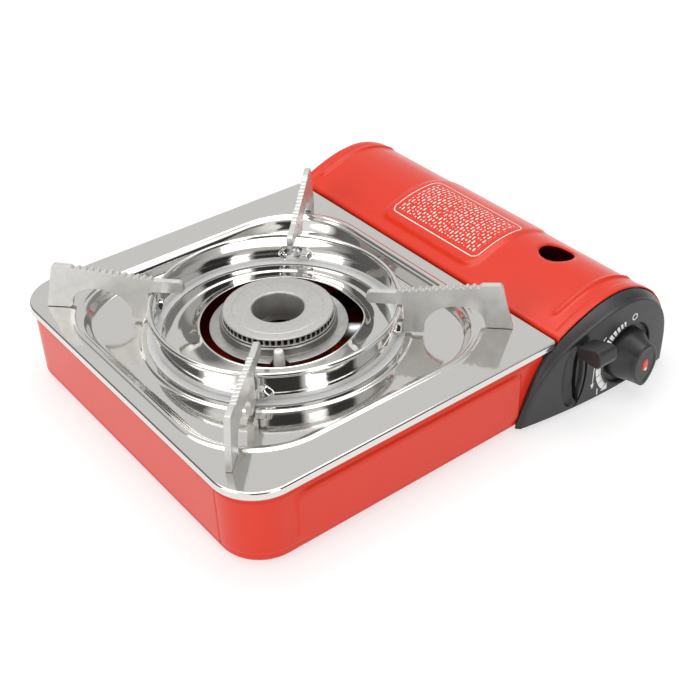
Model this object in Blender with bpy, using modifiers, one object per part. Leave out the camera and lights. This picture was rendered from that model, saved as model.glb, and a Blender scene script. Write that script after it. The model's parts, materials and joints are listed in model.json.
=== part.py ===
"""Portable gas camping stove with a square pan area and a cartridge bay beside it.

Lengths below are millimetres in a working frame: X = 0, Y = 0 on the burner
axis region (middle of the steel top), Z = 0 on the steel top's flat face.
at() moves them to metres with the origin under the middle of the whole stove.
"""
import math

import bmesh
import bpy
from mathutils import Matrix, Vector

# ---------------------------------------------------------------- dimensions
MM = 0.001
SHIFT_X = -53.28
SHIFT_Y = 15.73
SHIFT_Z = 58.0

PANEL_LEFT = -119.5
PANEL_RIGHT = 119.6
PANEL_HALF_DEPTH = 137.5
PANEL_SHEET = 0.8
PANEL_FOLD = 5.3
PANEL_CORNER = 30.0
RECESS_DEPTH = 8.6
OPENING_RADIUS = 51.5
OPENING_LOBE = 4.0
FEED_ANGLE = math.radians(-33.6)

CASE_INSET = 2.2
CASE_RIGHT = 225.0
CASE_BOTTOM = -55.0
CASE_SHEET = 0.9
CASE_CORNER = 28.0
SIDE_WALL_TOP = -38.9

LID_SHEET = 0.8
LID_FRONT = -137.2
LID_REAR = 137.5
HINGE_X = 223.2
HINGE_Z = -35.5
HINGE_ROD_RADIUS = 1.5
VENT_RADIUS = 12.2
VENT_X = 178.8
VENT_Y = -77.2

BURNER_X = 1.0
BURNER_Y = -1.0
CAP_TOP = 7.2
CAP_RADIUS = 36.5
PORT_COUNT = 32

RING_RADIUS = 80.0
RING_TOP = 12.6
RING_SHEET = 0.8
RIM_ROLL = 1.75
SUPPORT_THICKNESS = 4.0
SUPPORT_TEETH = 12

KNOB_X = 177.5
KNOB_Z = -30.4
KNOB_FRONT = -164.0
DISH_RADIUS = 22.0
BAY_X = 178.0
BAY_Z = -20.5

LEVER_X = 133.0
LEVER_Y = -87.0
LEVER_Z = -27.0
LEVER_REST = math.radians(-19.0)

FACE_CROWN = -148.0
FACE_CROWN_X = 175.0
FACE_CURVE = 900.0

# --------------------------------------------------------------- housekeeping
for item in list(bpy.data.objects):
    bpy.data.objects.remove(item, do_unlink=True)

STOVE = bpy.data.collections.new("camping_stove")
CUTTERS = bpy.data.collections.new("cutters")
bpy.context.scene.collection.children.link(STOVE)
bpy.context.scene.collection.children.link(CUTTERS)


def at(x, y, z):
    """Working millimetres to metres from the middle of the stove's underside."""
    return Vector(((x + SHIFT_X) * MM, (y + SHIFT_Y) * MM, (z + SHIFT_Z) * MM))


def material(name, colour, roughness, metallic):
    """A plain Principled material."""
    made = bpy.data.materials.new(name)
    made.use_nodes = True
    shader = made.node_tree.nodes["Principled BSDF"]
    shader.inputs["Base Color"].default_value = (*colour, 1.0)
    shader.inputs["Roughness"].default_value = roughness
    shader.inputs["Metallic"].default_value = metallic
    made.diffuse_color = (*colour, 1.0)
    return made


RED = material("red_enamel", (0.74, 0.045, 0.015), 0.35, 0.0)
STEEL = material("stainless_steel", (0.62, 0.60, 0.58), 0.22, 1.0)
MIRROR_STEEL = material("bright_steel", (0.72, 0.72, 0.72), 0.10, 1.0)
ZINC = material("zinc_plated_steel", (0.50, 0.50, 0.52), 0.40, 1.0)
CAST = material("cast_aluminium", (0.42, 0.41, 0.39), 0.55, 1.0)
GALVANISED = material("galvanised_steel", (0.46, 0.45, 0.43), 0.55, 1.0)
BRASS = material("brass", (0.70, 0.48, 0.18), 0.30, 1.0)
BLACK = material("black_plastic", (0.030, 0.030, 0.032), 0.45, 0.0)
RUBBER = material("black_rubber", (0.02, 0.02, 0.02), 0.85, 0.0)
CERAMIC = material("white_ceramic", (0.86, 0.85, 0.82), 0.35, 0.0)
SIGNAL = material("signal_red", (0.75, 0.05, 0.04), 0.35, 0.0)
LEAD_SKIN = material("silicone_lead", (0.65, 0.63, 0.60), 0.60, 0.0)


def add_object(name, data, surface, place=(0.0, 0.0, 0.0), turn=(0.0, 0.0, 0.0), home=STOVE):
    """Link a named object; place is in working millimetres, turn in radians."""
    made = bpy.data.objects.new(name, data)
    home.objects.link(made)
    made.location = at(*place)
    made.rotation_euler = turn
    if surface is not None:
        data.materials.append(surface)
    if home is CUTTERS:
        made.hide_render = True
        made.display_type = "WIRE"
    return made


def smooth(made, angle=35.0):
    """Shade round faces smooth and keep edges sharper than the angle crisp."""
    mesh = made.data
    mesh.shade_smooth()
    mesh.set_sharp_from_angle(angle=math.radians(angle))
    return made


def plate(name, loops, thickness, surface, place, turn=(0.0, 0.0, 0.0), home=STOVE):
    """Flat sheet: first loop is the outline, the others are holes through it."""
    curve = bpy.data.curves.new(name, "CURVE")
    curve.dimensions = "2D"
    curve.fill_mode = "BOTH"
    curve.extrude = thickness * MM / 2.0
    for loop in loops:
        spline = curve.splines.new("POLY")
        spline.points.add(len(loop) - 1)
        for point, (u, v) in zip(spline.points, loop):
            point.co = (u * MM, v * MM, 0.0, 1.0)
        spline.use_cyclic_u = True
    drawn = bpy.data.objects.new(name + "_curve", curve)
    bpy.context.scene.collection.objects.link(drawn)
    bpy.context.view_layer.update()
    graph = bpy.context.evaluated_depsgraph_get()
    mesh = bpy.data.meshes.new_from_object(drawn.evaluated_get(graph))
    bpy.data.objects.remove(drawn, do_unlink=True)
    welded = bmesh.new()
    welded.from_mesh(mesh)
    bmesh.ops.remove_doubles(welded, verts=welded.verts, dist=1e-6)
    welded.to_mesh(mesh)
    welded.free()
    mesh.name = name
    return add_object(name, mesh, surface, place, turn, home)


def lathe(name, profile, steps, surface, place, turn=(0.0, 0.0, 0.0), closed=True, home=STOVE):
    """Round piece turned about its own Z from (radius, height) points."""
    mesh = bpy.data.meshes.new(name)
    points = [(r * MM, 0.0, z * MM) for r, z in profile]
    edges = [(i, i + 1) for i in range(len(points) - 1)]
    if closed:
        edges.append((len(points) - 1, 0))
    mesh.from_pydata(points, edges, [])
    made = add_object(name, mesh, surface, place, turn, home)
    spin = made.modifiers.new("turned", "SCREW")
    spin.steps = steps
    spin.render_steps = steps
    spin.use_merge_vertices = True
    spin.merge_threshold = 0.00001
    spin.use_smooth_shade = True
    return made


def loft(name, sections, surface, place=(0.0, 0.0, 0.0), cap_start=False, cap_end=False,
         home=STOVE):
    """Skin joining closed sections of equal point count, in order."""
    count = len(sections[0])
    points = [tuple(c * MM for c in p) for section in sections for p in section]
    faces = []
    for s in range(len(sections) - 1):
        for i in range(count):
            j = (i + 1) % count
            lower = s * count
            upper = lower + count
            faces.append((lower + i, lower + j, upper + j, upper + i))
    if cap_start:
        faces.append(tuple(reversed(range(count))))
    if cap_end:
        last = (len(sections) - 1) * count
        faces.append(tuple(range(last, last + count)))
    mesh = bpy.data.meshes.new(name)
    mesh.from_pydata(points, [], faces)
    return add_object(name, mesh, surface, place, (0.0, 0.0, 0.0), home)


def thicken(made, thickness):
    """Give a skin its sheet thickness on the side away from its faces' outside."""
    wall = made.modifiers.new("sheet", "SOLIDIFY")
    wall.thickness = thickness * MM
    wall.offset = -1.0
    wall.use_even_offset = True
    return made


def block(name, size, surface, place, turn=(0.0, 0.0, 0.0), bevel=0.0, home=STOVE):
    """Rectangular piece, edges rounded when bevel is given."""
    body = bmesh.new()
    bmesh.ops.create_cube(body, size=1.0)
    bmesh.ops.scale(body, vec=Vector(size) * MM, verts=body.verts)
    mesh = bpy.data.meshes.new(name)
    body.to_mesh(mesh)
    body.free()
    made = add_object(name, mesh, surface, place, turn, home)
    if bevel > 0.0:
        edge = made.modifiers.new("edges", "BEVEL")
        edge.width = bevel * MM
        edge.segments = 2
    return made


def cylinder(name, radius, length, steps, surface, place, turn=(0.0, 0.0, 0.0), home=STOVE):
    """Plain round bar about its own Z, centred on its place."""
    half = length / 2.0
    profile = [(0.0, half), (radius, half), (radius, -half), (0.0, -half)]
    return lathe(name, profile, steps, surface, place, turn, False, home)


def tube(name, path, radius, surface):
    """Round wire or pipe swept along a path of working points, ends closed."""
    start = Vector(path[0])
    curve = bpy.data.curves.new(name, "CURVE")
    curve.dimensions = "3D"
    curve.bevel_depth = radius * MM
    curve.bevel_resolution = 2
    curve.use_fill_caps = True
    spline = curve.splines.new("POLY")
    spline.points.add(len(path) - 1)
    for point, place in zip(spline.points, path):
        local = (Vector(place) - start) * MM
        point.co = (*local, 1.0)
    return add_object(name, curve, surface, path[0])


def cut(made, cutter, solver="EXACT"):
    """Take the cutter's volume away."""
    hole = made.modifiers.new("cut_" + cutter.name, "BOOLEAN")
    hole.operation = "DIFFERENCE"
    hole.solver = solver
    hole.object = cutter
    return made


def bend(points, radius, steps=3):
    """Path with each inner corner replaced by an arc of about the given radius."""
    out = [Vector(points[0])]
    for before, corner, after in zip(points, points[1:], points[2:]):
        corner = Vector(corner)
        a = (Vector(before) - corner).normalized()
        b = (Vector(after) - corner).normalized()
        reach = min(radius, (Vector(before) - corner).length * 0.45)
        reach = min(reach, (Vector(after) - corner).length * 0.45)
        for i in range(steps + 1):
            t = i / steps
            out.append(corner + a * reach * (1 - t) ** 2 + b * reach * t ** 2)
    out.append(Vector(points[-1]))
    return [tuple(p) for p in out]


def rounded(x0, x1, y0, y1, left, right, arc=7, side=5):
    """Rectangle outline, anticlockwise, with its own left and right corner radii."""
    corners = ((x1, y1, right, 0.0), (x0, y1, left, 90.0), (x0, y0, left, 180.0),
               (x1, y0, right, 270.0))
    arcs = []
    for x, y, r, first in corners:
        cx = x - r if x == x1 else x + r
        cy = y - r if y == y1 else y + r
        turns = [math.radians(first + 90.0 * i / arc) for i in range(arc + 1)]
        arcs.append([(cx + r * math.cos(a), cy + r * math.sin(a)) for a in turns])
    out = []
    for k, points in enumerate(arcs):
        out += points
        ax, ay = points[-1]
        bx, by = arcs[(k + 1) % 4][0]
        for i in range(1, side):
            t = i / side
            out.append((ax + (bx - ax) * t, ay + (by - ay) * t))
    return out


def circle(radius, count=48, x=0.0, y=0.0, first=-26.25):
    """Circle of points, anticlockwise, the first one at the given angle."""
    turns = [math.radians(first + 45.0 + 360.0 * i / count) for i in range(count)]
    return [(x + radius * math.cos(a), y + radius * math.sin(a)) for a in turns]


def lift(outline, z):
    """Put a plan outline at a height."""
    return [(x, y, z) for x, y in outline]


def strip_loop(centre, half):
    """Closed outline of a bent sheet from its centre line and half thickness."""
    points = [Vector(p) for p in centre]
    one = []
    other = []
    for i, p in enumerate(points):
        before = points[max(i - 1, 0)]
        after = points[min(i + 1, len(points) - 1)]
        a = (p - before).normalized() if i > 0 else (after - p).normalized()
        b = (after - p).normalized() if i < len(points) - 1 else a
        mean = (a + b).normalized()
        normal = Vector((-mean.y, mean.x))
        stretch = half / max(0.4, normal.dot(Vector((-a.y, a.x))))
        one.append(tuple(p + normal * stretch))
        other.append(tuple(p - normal * stretch))
    return one + other[::-1]


# ------------------------------------------------------------ lid cross-section
LID_ARCH = [(121.4, 0.4), (127.0, 2.9), (134.3, 6.0), (140.0, 8.1), (148.0, 10.7),
            (156.4, 12.8), (164.0, 13.8), (171.0, 14.2), (178.0, 13.7), (185.5, 12.1),
            (193.0, 9.3), (200.5, 5.4), (207.0, 0.6), (213.0, -5.3), (218.2, -12.3),
            (222.0, -20.0), (224.4, -27.5)]


def lid_centre_line():
    """Middle of the lid sheet from its inner flange over the arch into the hinge curl."""
    line = [(121.4, -4.0)]
    line += [(x, z) for x, z in LID_ARCH]
    curl = HINGE_ROD_RADIUS + 0.45 + LID_SHEET / 2.0
    for degrees in (0.0, -40.0, -80.0, -120.0, -160.0, -200.0, -235.0):
        a = math.radians(degrees)
        line.append((HINGE_X + curl * math.cos(a), HINGE_Z + curl * math.sin(a)))
    return line


def under_arch(clear, x_low, x_high):
    """Arch outline lying a clearance inside the lid, left to right."""
    points = []
    for (x0, z0), (x1, z1) in zip(LID_ARCH, LID_ARCH[1:]):
        along = Vector((x1 - x0, z1 - z0)).normalized()
        points.append((x0 + along.y * clear, z0 - along.x * clear))
    return [(x, z) for x, z in points if x_low <= x <= x_high]


# ------------------------------------------------------------------ main case
# Red enamelled steel tray: floor and side walls drawn from one sheet.
def case_plan(inset):
    """Plan outline of the case."""
    left = PANEL_LEFT + CASE_INSET + inset
    depth = PANEL_HALF_DEPTH - CASE_INSET - inset
    return rounded(left, CASE_RIGHT - inset, -depth, depth, CASE_CORNER - inset, 4.2 - inset)


base_tray = loft("base_tray", [lift(case_plan(0.0), -1.4),
                               lift(case_plan(0.0), CASE_BOTTOM + 3.2),
                               lift(case_plan(1.0), CASE_BOTTOM + 0.9),
                               lift(case_plan(3.2), CASE_BOTTOM)][::-1], RED, cap_start=True)
thicken(base_tray, CASE_SHEET)
bay_cutter = block("bay_cutter", (132.0, 300.0, 60.0), None,
                   (184.2, 0.0, SIDE_WALL_TOP + 30.0), home=CUTTERS)
cut(base_tray, bay_cutter)

# Rubber feet pushed on under the four corners.
for index, (fx, fy) in enumerate(((-92.0, -108.0), (-92.0, 108.0), (200.0, 108.0),
                                  (200.0, -108.0))):
    foot = [(0.0, -55.3), (7.5, -55.3), (7.5, -57.2), (6.7, -58.0), (0.0, -58.0)]
    lathe("foot_%d" % (index + 1), foot, 20, RUBBER, (fx, fy, 0.0), closed=False)

# ------------------------------------------------------------------ steel top
# Stainless top pressed from one sheet: folded rim, round-cornered recess,
# flat seat for the ring, raised lip round the burner opening.
def opening(extra):
    """Burner opening outline, eased out towards the gas feed."""
    points = []
    for x, y in circle(1.0):
        a = math.atan2(y, x)
        off = (a - FEED_ANGLE + math.pi) % (2.0 * math.pi) - math.pi
        r = OPENING_RADIUS + extra + OPENING_LOBE * math.exp(-(off / 0.33) ** 2)
        points.append((BURNER_X + r * x, BURNER_Y + r * y))
    return points


def top_plan(inset):
    """Plan outline of the steel top."""
    return rounded(PANEL_LEFT + inset, PANEL_RIGHT - inset, -PANEL_HALF_DEPTH + inset,
                   PANEL_HALF_DEPTH - inset, PANEL_CORNER - inset, 3.0 - inset)


def recess_plan(inset, corner):
    """Plan outline of the recess."""
    return rounded(-106.0 + inset, 104.5 - inset, -109.5 + inset, 109.5 - inset, corner, corner)


top_panel = loft("top_panel", [lift(top_plan(0.0), -PANEL_FOLD),
                               lift(top_plan(0.0), -1.0),
                               lift(top_plan(1.0), 0.0),
                               lift(recess_plan(0.0, 54.0), 0.0),
                               lift(recess_plan(2.0, 52.0), -1.6),
                               lift(recess_plan(4.6, 50.0), -RECESS_DEPTH + 0.8),
                               lift(recess_plan(6.5, 49.0), -RECESS_DEPTH),
                               lift(circle(90.0), -RECESS_DEPTH),
                               lift(circle(88.0), -7.6),
                               lift(circle(68.5), -7.6),
                               lift(circle(66.0), -8.4),
                               lift(opening(5.0), -4.4),
                               lift(opening(1.4), -3.0),
                               lift(opening(0.0), -3.4)], STEEL)
thicken(top_panel, PANEL_SHEET)

# ------------------------------------------------------------------ inner walls
# Plated steel heat shield standing between the burner and the cartridge bay.
gas_y = BURNER_Y + 115.5 * math.tan(FEED_ANGLE)
shield_outline = [(-131.5, -53.6), (131.5, -53.6), (133.9, -51.0), (133.9, -1.4),
                  (-133.9, -1.4), (-133.9, -51.0)]
shield_holes = [circle(4.5, 16, gas_y, -18.0),
                circle(3.0, 12, -126.0, -50.0),
                [(18.0, -42.2), (52.0, -42.2), (52.0, -37.8), (18.0, -37.8)]]
plate("heat_shield", [shield_outline] + shield_holes, 0.8, ZINC, (116.5, 0.0, 0.0),
      (math.pi / 2.0, 0.0, math.pi / 2.0))

# Red end plate closing the rear of the cartridge bay under the lid.
hinge_hole = circle(HINGE_ROD_RADIUS + 0.4, 12, HINGE_X, HINGE_Z)
lug = [(219.0, -31.5), (223.2, -31.8), (225.4, -33.2), (225.9, -35.5), (225.2, -37.6),
       (221.0, -38.2)]
rear_loop = [(124.5, -50.0)] + [(124.5, 0.0)] + under_arch(1.1, 125.0, 219.5) + lug
rear_loop += [(221.0, -50.0)]
plate("rear_arch_plate", [rear_loop[::-1], hinge_hole], 0.8, RED, (0.0, 133.7, 0.0),
      (math.pi / 2.0, 0.0, 0.0))

# Plated steel front bracket that carries the valve, the lever and the front cover.
front_loop = [(124.5, -51.2)] + [(124.5, 0.0)] + under_arch(1.1, 125.0, 219.5) + lug
front_loop += [(221.0, -51.2)]
front_holes = [hinge_hole,
               circle(4.2, 16, KNOB_X, KNOB_Z),
               [(129.5, -51.0), (136.5, -51.0), (136.5, -2.5), (129.5, -2.5)]]
plate("front_bracket", [front_loop[::-1]] + front_holes, 0.8, ZINC, (0.0, -133.7, 0.0),
      (math.pi / 2.0, 0.0, 0.0))

# Plated angle rails the cartridge lies between.
for side, name in ((-1.0, "bay_rail_left"), (1.0, "bay_rail_right")):
    rail = strip_loop([(9.0, -53.3), (0.0, -53.3), (0.0, -45.0)], 0.5)
    rail = [(u * side, v) for u, v in rail]
    plate(name, [rail], 200.0, ZINC, (BAY_X + side * 24.0, 4.0, 0.0), (math.pi / 2.0, 0.0, 0.0))

# Spring leaf that steadies the cartridge's base at the rear of the bay.
leaf = strip_loop([(132.6, -44.0), (128.6, -38.0), (123.5, -31.0), (121.0, -22.0),
                   (123.5, -13.0), (128.6, -6.0), (131.6, -2.0)], 0.4)
plate("cartridge_spring", [leaf], 26.0, ZINC, (BAY_X, 0.0, 0.0),
      (math.pi / 2.0, 0.0, math.pi / 2.0))

# Aluminium strip that carries a little burner heat to the cartridge's side.
warm = strip_loop([(58.0, -14.0), (59.5, -38.0), (62.0, -40.0), (145.5, -40.0),
                   (149.5, -36.5)], 0.6)
plate("heat_strip", [warm], 24.0, CAST, (0.0, 35.0, 0.0), (math.pi / 2.0, 0.0, 0.0))

# ------------------------------------------------------------------ burner
# Bent strap that holds the burner off the floor.
strap = strip_loop([(-47.0, -53.2), (-35.0, -53.2), (-30.0, -28.2), (30.0, -28.2),
                    (35.0, -53.2), (47.0, -53.2)], 0.6)
burner_stand = plate("burner_stand", [strap], 20.0, ZINC, (BURNER_X, BURNER_Y, 0.0),
                     (math.pi / 2.0, 0.0, 0.0))
stand_cutter = cylinder("stand_cutter", 8.5, 8.0, 24, None, (BURNER_X, BURNER_Y, -28.2),
                        home=CUTTERS)
cut(burner_stand, stand_cutter)

# Cast ring-shaped gas bowl with a flat flange and an open middle for air.
bowl = [(37.6, 1.2), (38.4, 0.4), (38.4, -4.8), (45.5, -4.8), (45.5, -6.0), (38.4, -6.0),
        (36.5, -20.0), (33.0, -27.2), (12.5, -27.2), (12.5, -1.0), (14.5, -1.0),
        (14.5, -25.2), (32.0, -25.2), (34.6, -19.5), (36.0, -6.0), (36.0, 0.6)]
burner_bowl = lathe("burner_bowl", bowl, 40, CAST, (BURNER_X, BURNER_Y, 0.0))
electrode_x = BURNER_X + 42.6 * math.cos(math.radians(-125.0))
electrode_y = BURNER_Y + 42.6 * math.sin(math.radians(-125.0))
rivet_x = BURNER_X + 46.0 * math.cos(math.radians(-110.0))
rivet_y = BURNER_Y + 46.0 * math.sin(math.radians(-110.0))
notch_cutter = cylinder("notch_cutter", 4.0, 6.0, 20, None, (electrode_x, electrode_y, -5.4),
                        home=CUTTERS)
cut(burner_bowl, notch_cutter)

# Cast burner cap: dished disc with a ring of slots under its edge.
cap = [(17.2, CAP_TOP - 0.5), (18.0, CAP_TOP), (29.5, CAP_TOP), (30.0, CAP_TOP - 0.25),
       (35.4, CAP_TOP - 0.3), (CAP_RADIUS, CAP_TOP - 1.3), (36.4, 4.6), (35.6, 4.4), (35.6, 1.6),
       (32.4, 1.6), (32.4, 3.2), (19.0, 3.2), (17.6, 0.0), (16.8, -0.4), (15.2, -0.4),
       (15.2, 2.0)]
burner_cap = lathe("burner_cap", cap, 32, CAST, (BURNER_X, BURNER_Y, 0.0))
slots = bmesh.new()
for index in range(PORT_COUNT):
    made = bmesh.ops.create_cube(slots, size=1.0)
    spin = Matrix.Rotation(2.0 * math.pi * index / PORT_COUNT, 4, "Z")
    move = Matrix.Translation(Vector((34.5, 0.0, 2.7)) * MM)
    shape = Matrix.Diagonal((6.0 * MM, 1.7 * MM, 2.8 * MM, 1.0))
    bmesh.ops.transform(slots, matrix=spin @ move @ shape, verts=made["verts"])
slot_mesh = bpy.data.meshes.new("slot_cutter")
slots.to_mesh(slot_mesh)
slots.free()
slot_cutter = add_object("slot_cutter", slot_mesh, None, (BURNER_X, BURNER_Y, 0.0),
                         home=CUTTERS)
cut(burner_cap, slot_cutter)


def along_feed(distance, z=-18.0):
    """Point on the gas feed line, a distance out from the burner axis."""
    return (BURNER_X + distance * math.cos(FEED_ANGLE),
            BURNER_Y + distance * math.sin(FEED_ANGLE), z)


# Pressed mixing tube from the nozzle to the bowl, flared at its mouth.
FEED_TURN = (0.0, math.pi / 2.0, FEED_ANGLE)
mixing = [(8.3, 40.0), (8.3, 38.8), (7.5, 33.0), (6.6, 20.0), (7.5, 0.0), (7.5, -38.5),
          (6.7, -38.5), (6.7, 0.0), (5.8, 20.0), (6.7, 33.0), (7.6, 40.0)]
lathe("mixing_tube", mixing, 28, ZINC, along_feed(77.3), FEED_TURN)

# Turned brass nozzle pointing into the tube's mouth.
nozzle = [(0.0, 8.0), (3.4, 8.0), (4.6, 6.8), (4.6, 1.2), (3.0, 0.6), (3.0, -3.0), (1.4, -5.0),
          (0.0, -5.0)]
lathe("nozzle", nozzle, 20, BRASS, along_feed(125.0), FEED_TURN, closed=False)

# Copper-coloured gas pipe from the valve round to the nozzle.
gas_path = bend([along_feed(133.6), along_feed(141.2), (121.2, -80.0, -25.5),
                 (121.4, -80.4, -48.0), (136.0, -101.0, -49.5), (165.0, -118.0, -49.5),
                 (166.0, -118.6, -41.6)], 6.0)
tube("gas_pipe", gas_path, 1.9, BRASS)

# White ceramic electrode with its metal point, standing in the flange's notch.
spark = [(0.0, 4.2), (0.55, 3.9), (0.8, -0.6), (1.9, -1.0), (2.4, -3.0), (3.3, -6.0),
         (3.5, -7.0), (3.5, -11.0), (3.1, -11.5), (3.1, -15.5), (0.9, -15.8), (0.9, -19.0),
         (0.0, -19.0)]
lathe("electrode", spark, 20, CERAMIC, (electrode_x, electrode_y, 0.0), closed=False)

# Plated bracket under the flange that grips the electrode.
span_x = rivet_x - electrode_x
span_y = rivet_y - electrode_y
bracket_turn = math.atan2(span_y, span_x)
bracket_length = math.hypot(span_x, span_y)
bracket_outline = [(-5.4, -4.2), (bracket_length + 4.2, -4.2), (bracket_length + 4.2, 4.2),
                   (-5.4, 4.2)]
plate("electrode_bracket", [bracket_outline, circle(3.5, 16), circle(2.0, 12, bracket_length)],
      0.9, ZINC, (electrode_x, electrode_y, -12.2), (0.0, 0.0, bracket_turn))
pin = [(0.0, -9.6), (2.2, -9.8), (3.1, -10.6), (3.1, -11.4), (1.6, -11.4), (1.6, -14.6),
       (2.8, -14.6), (2.8, -15.6), (0.0, -15.6)]
lathe("bracket_rivet", pin, 16, BRASS, (rivet_x, rivet_y, 0.0), closed=False)

# ------------------------------------------------------------------ valve gear
ALONG_Y = (math.pi / 2.0, 0.0, 0.0)
valve = [(0.0, 13.2), (17.0, 13.2), (18.5, 12.0), (18.5, 3.0), (16.5, 1.0), (16.5, 0.0), (0.0, 0.0)]
valve_body = lathe("valve_body", valve, 32, CAST, (BAY_X, -112.3, -25.0), ALONG_Y, closed=False)
bore_cutter = cylinder("bore_cutter", 3.4, 14.0, 20, None, (KNOB_X, -125.0, KNOB_Z), ALONG_Y,
                       home=CUTTERS)
cut(valve_body, bore_cutter)

# Brass port the cartridge's collar seats on.
port = [(0.0, 0.0), (9.5, 0.0), (9.5, -3.5), (6.5, -4.2), (6.5, -7.0), (3.0, -7.6), (0.0, -7.6)]
lathe("valve_port", port, 28, BRASS, (BAY_X, -112.0, BAY_Z), ALONG_Y, closed=False)

# Steel spindle turned by the knob, with its cam.
cylinder("spindle", 2.9, 37.5, 20, ZINC, (KNOB_X, -138.6, KNOB_Z), ALONG_Y)
cam_loop = []
for index in range(28):
    a = 2.0 * math.pi * index / 28
    r = 9.0 + 3.4 * math.exp(-((a - math.radians(230.0)) / 0.55) ** 2)
    cam_loop.append((r * math.cos(a), r * math.sin(a)))
plate("knob_cam", [cam_loop, circle(3.3, 16)], 2.6, BLACK, (KNOB_X, -128.4, KNOB_Z), ALONG_Y)

# Spark unit beside the valve, its plunger facing the cam.
piezo_unit = block("piezo_unit", (13.0, 22.0, 14.0), BLACK, (208.0, -121.5, -37.5), bevel=1.0)
piezo_cutter = cylinder("piezo_cutter", 2.6, 9.0, 16, None, (204.2, -128.4, -36.5),
                        (0.0, math.pi / 2.0, 0.0), home=CUTTERS)
cut(piezo_unit, piezo_cutter)
plunger = [(0.0, 12.8), (1.6, 12.8), (2.2, 12.0), (2.2, 0.0), (0.0, 0.0)]
lathe("piezo_plunger", plunger, 16, CERAMIC, (203.2, -128.4, -36.5),
      (0.0, -math.pi / 2.0, 0.0), closed=False)

# Insulated lead from the spark unit to the electrode's tail.
lead_path = bend([(206.0, -124.0, -45.4), (205.0, -126.0, -51.4), (128.0, -126.0, -50.6),
                  (104.0, -126.0, -50.6), (60.0, -100.0, -51.4), (-10.0, -62.0, -51.4),
                  (electrode_x, electrode_y - 4.0, -40.0),
                  (electrode_x, electrode_y, -30.0),
                  (electrode_x, electrode_y, -19.4)], 6.0)
tube("ignition_lead", lead_path, 1.3, LEAD_SKIN)

# ------------------------------------------------------------------ front cover
def face_y(x):
    """Front face of the cover, gently bowed from side to side."""
    return FACE_CROWN + (x - FACE_CROWN_X) ** 2 / FACE_CURVE


COVER_REAR = [(87.8, -54.8), (89.3, -49.0), (91.6, -43.0), (94.5, -36.0), (98.0, -27.5),
              (102.0, -19.5), (107.5, -11.5), (114.0, -4.5), (121.0, 0.4), (127.0, 3.3),
              (134.3, 6.4), (140.0, 8.5), (148.0, 11.1), (156.4, 13.2), (164.0, 14.2),
              (171.0, 14.6), (178.0, 14.1), (185.5, 12.5), (193.0, 9.7), (200.5, 5.8),
              (207.0, 1.0), (213.0, -5.0), (218.2, -12.0), (222.0, -20.0), (224.4, -28.0),
              (225.2, -36.0), (225.2, -44.0), (225.2, -54.8)]
COVER_FRONT = [(88.8, -54.8), (90.4, -49.0), (92.2, -43.0), (94.6, -36.0), (98.4, -28.0),
               (103.0, -20.8), (109.0, -13.4), (116.0, -7.2), (123.0, -2.8), (129.5, 0.4),
               (136.5, 3.2), (142.5, 5.4), (149.5, 7.8), (157.0, 9.8), (164.0, 11.0),
               (171.0, 11.3), (178.0, 10.8), (184.5, 9.3), (191.0, 6.8), (197.5, 3.3),
               (203.2, -1.2), (208.4, -7.0), (212.8, -13.8), (215.8, -21.2), (217.3, -29.0),
               (217.8, -36.5), (217.8, -44.0), (217.4, -54.8)]
BOTTOM_STEPS = 10


def with_bottom(side, left_z=-54.8):
    """Close a cover outline along its flat bottom edge."""
    x_right = side[-1][0]
    x_left = side[0][0]
    spread = [x_right + (x_left - x_right) * i / BOTTOM_STEPS for i in range(1, BOTTOM_STEPS)]
    return (list(side) + [(x, left_z) for x in spread])[::-1]


COVER_BACK = -135.7


def toward(loop, share, hub=(160.0, -26.0)):
    """Outline drawn in towards a hub point."""
    return [(hub[0] + (x - hub[0]) * share, hub[1] + (z - hub[1]) * share) for x, z in loop]


rear_line = with_bottom(COVER_REAR)
front_line = with_bottom(COVER_FRONT)
cover_sections = [[(x, COVER_BACK, z) for x, z in rear_line],
                  [(x, face_y(x) + 1.0, z) for x, z in front_line],
                  [(x, face_y(x), z) for x, z in toward(front_line, 0.985)]]
for share in (0.7, 0.4, 0.15):
    cover_sections.append([(x, face_y(x), z) for x, z in toward(front_line, share)])
control_panel = loft("control_panel", cover_sections, BLACK, cap_start=True, cap_end=True)

hollow_sections = [[(x, -130.0, z) for x, z in toward(rear_line, 0.955)],
                   [(x, face_y(x) + 3.4, z) for x, z in toward(front_line, 0.945)]]
for share in (0.7, 0.4, 0.15):
    hollow_sections.append([(x, face_y(x) + 3.4, z) for x, z in toward(front_line, share)])
hollow = loft("hollow_cutter", hollow_sections, None, cap_start=True, cap_end=True, home=CUTTERS)
dish_boss = cylinder("dish_boss", DISH_RADIUS + 2.2, 24.0, 40, None,
                     (KNOB_X, -151.1, KNOB_Z), ALONG_Y, home=CUTTERS)
cut(hollow, dish_boss, "MANIFOLD")


def scoop_loop(grow):
    """Outline of the lever's finger scoop, a tall lens."""
    points = []
    for side, bulge in ((1.0, 9.8), (-1.0, 9.4)):
        for i in range(8):
            t = i / 8.0
            height = (24.5 + grow) * math.cos(math.pi * t) * side
            width = (bulge + grow) * math.sin(math.pi * t) * side
            points.append((130.6 + width, -27.6 + height))
    return points[::-1]


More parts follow.
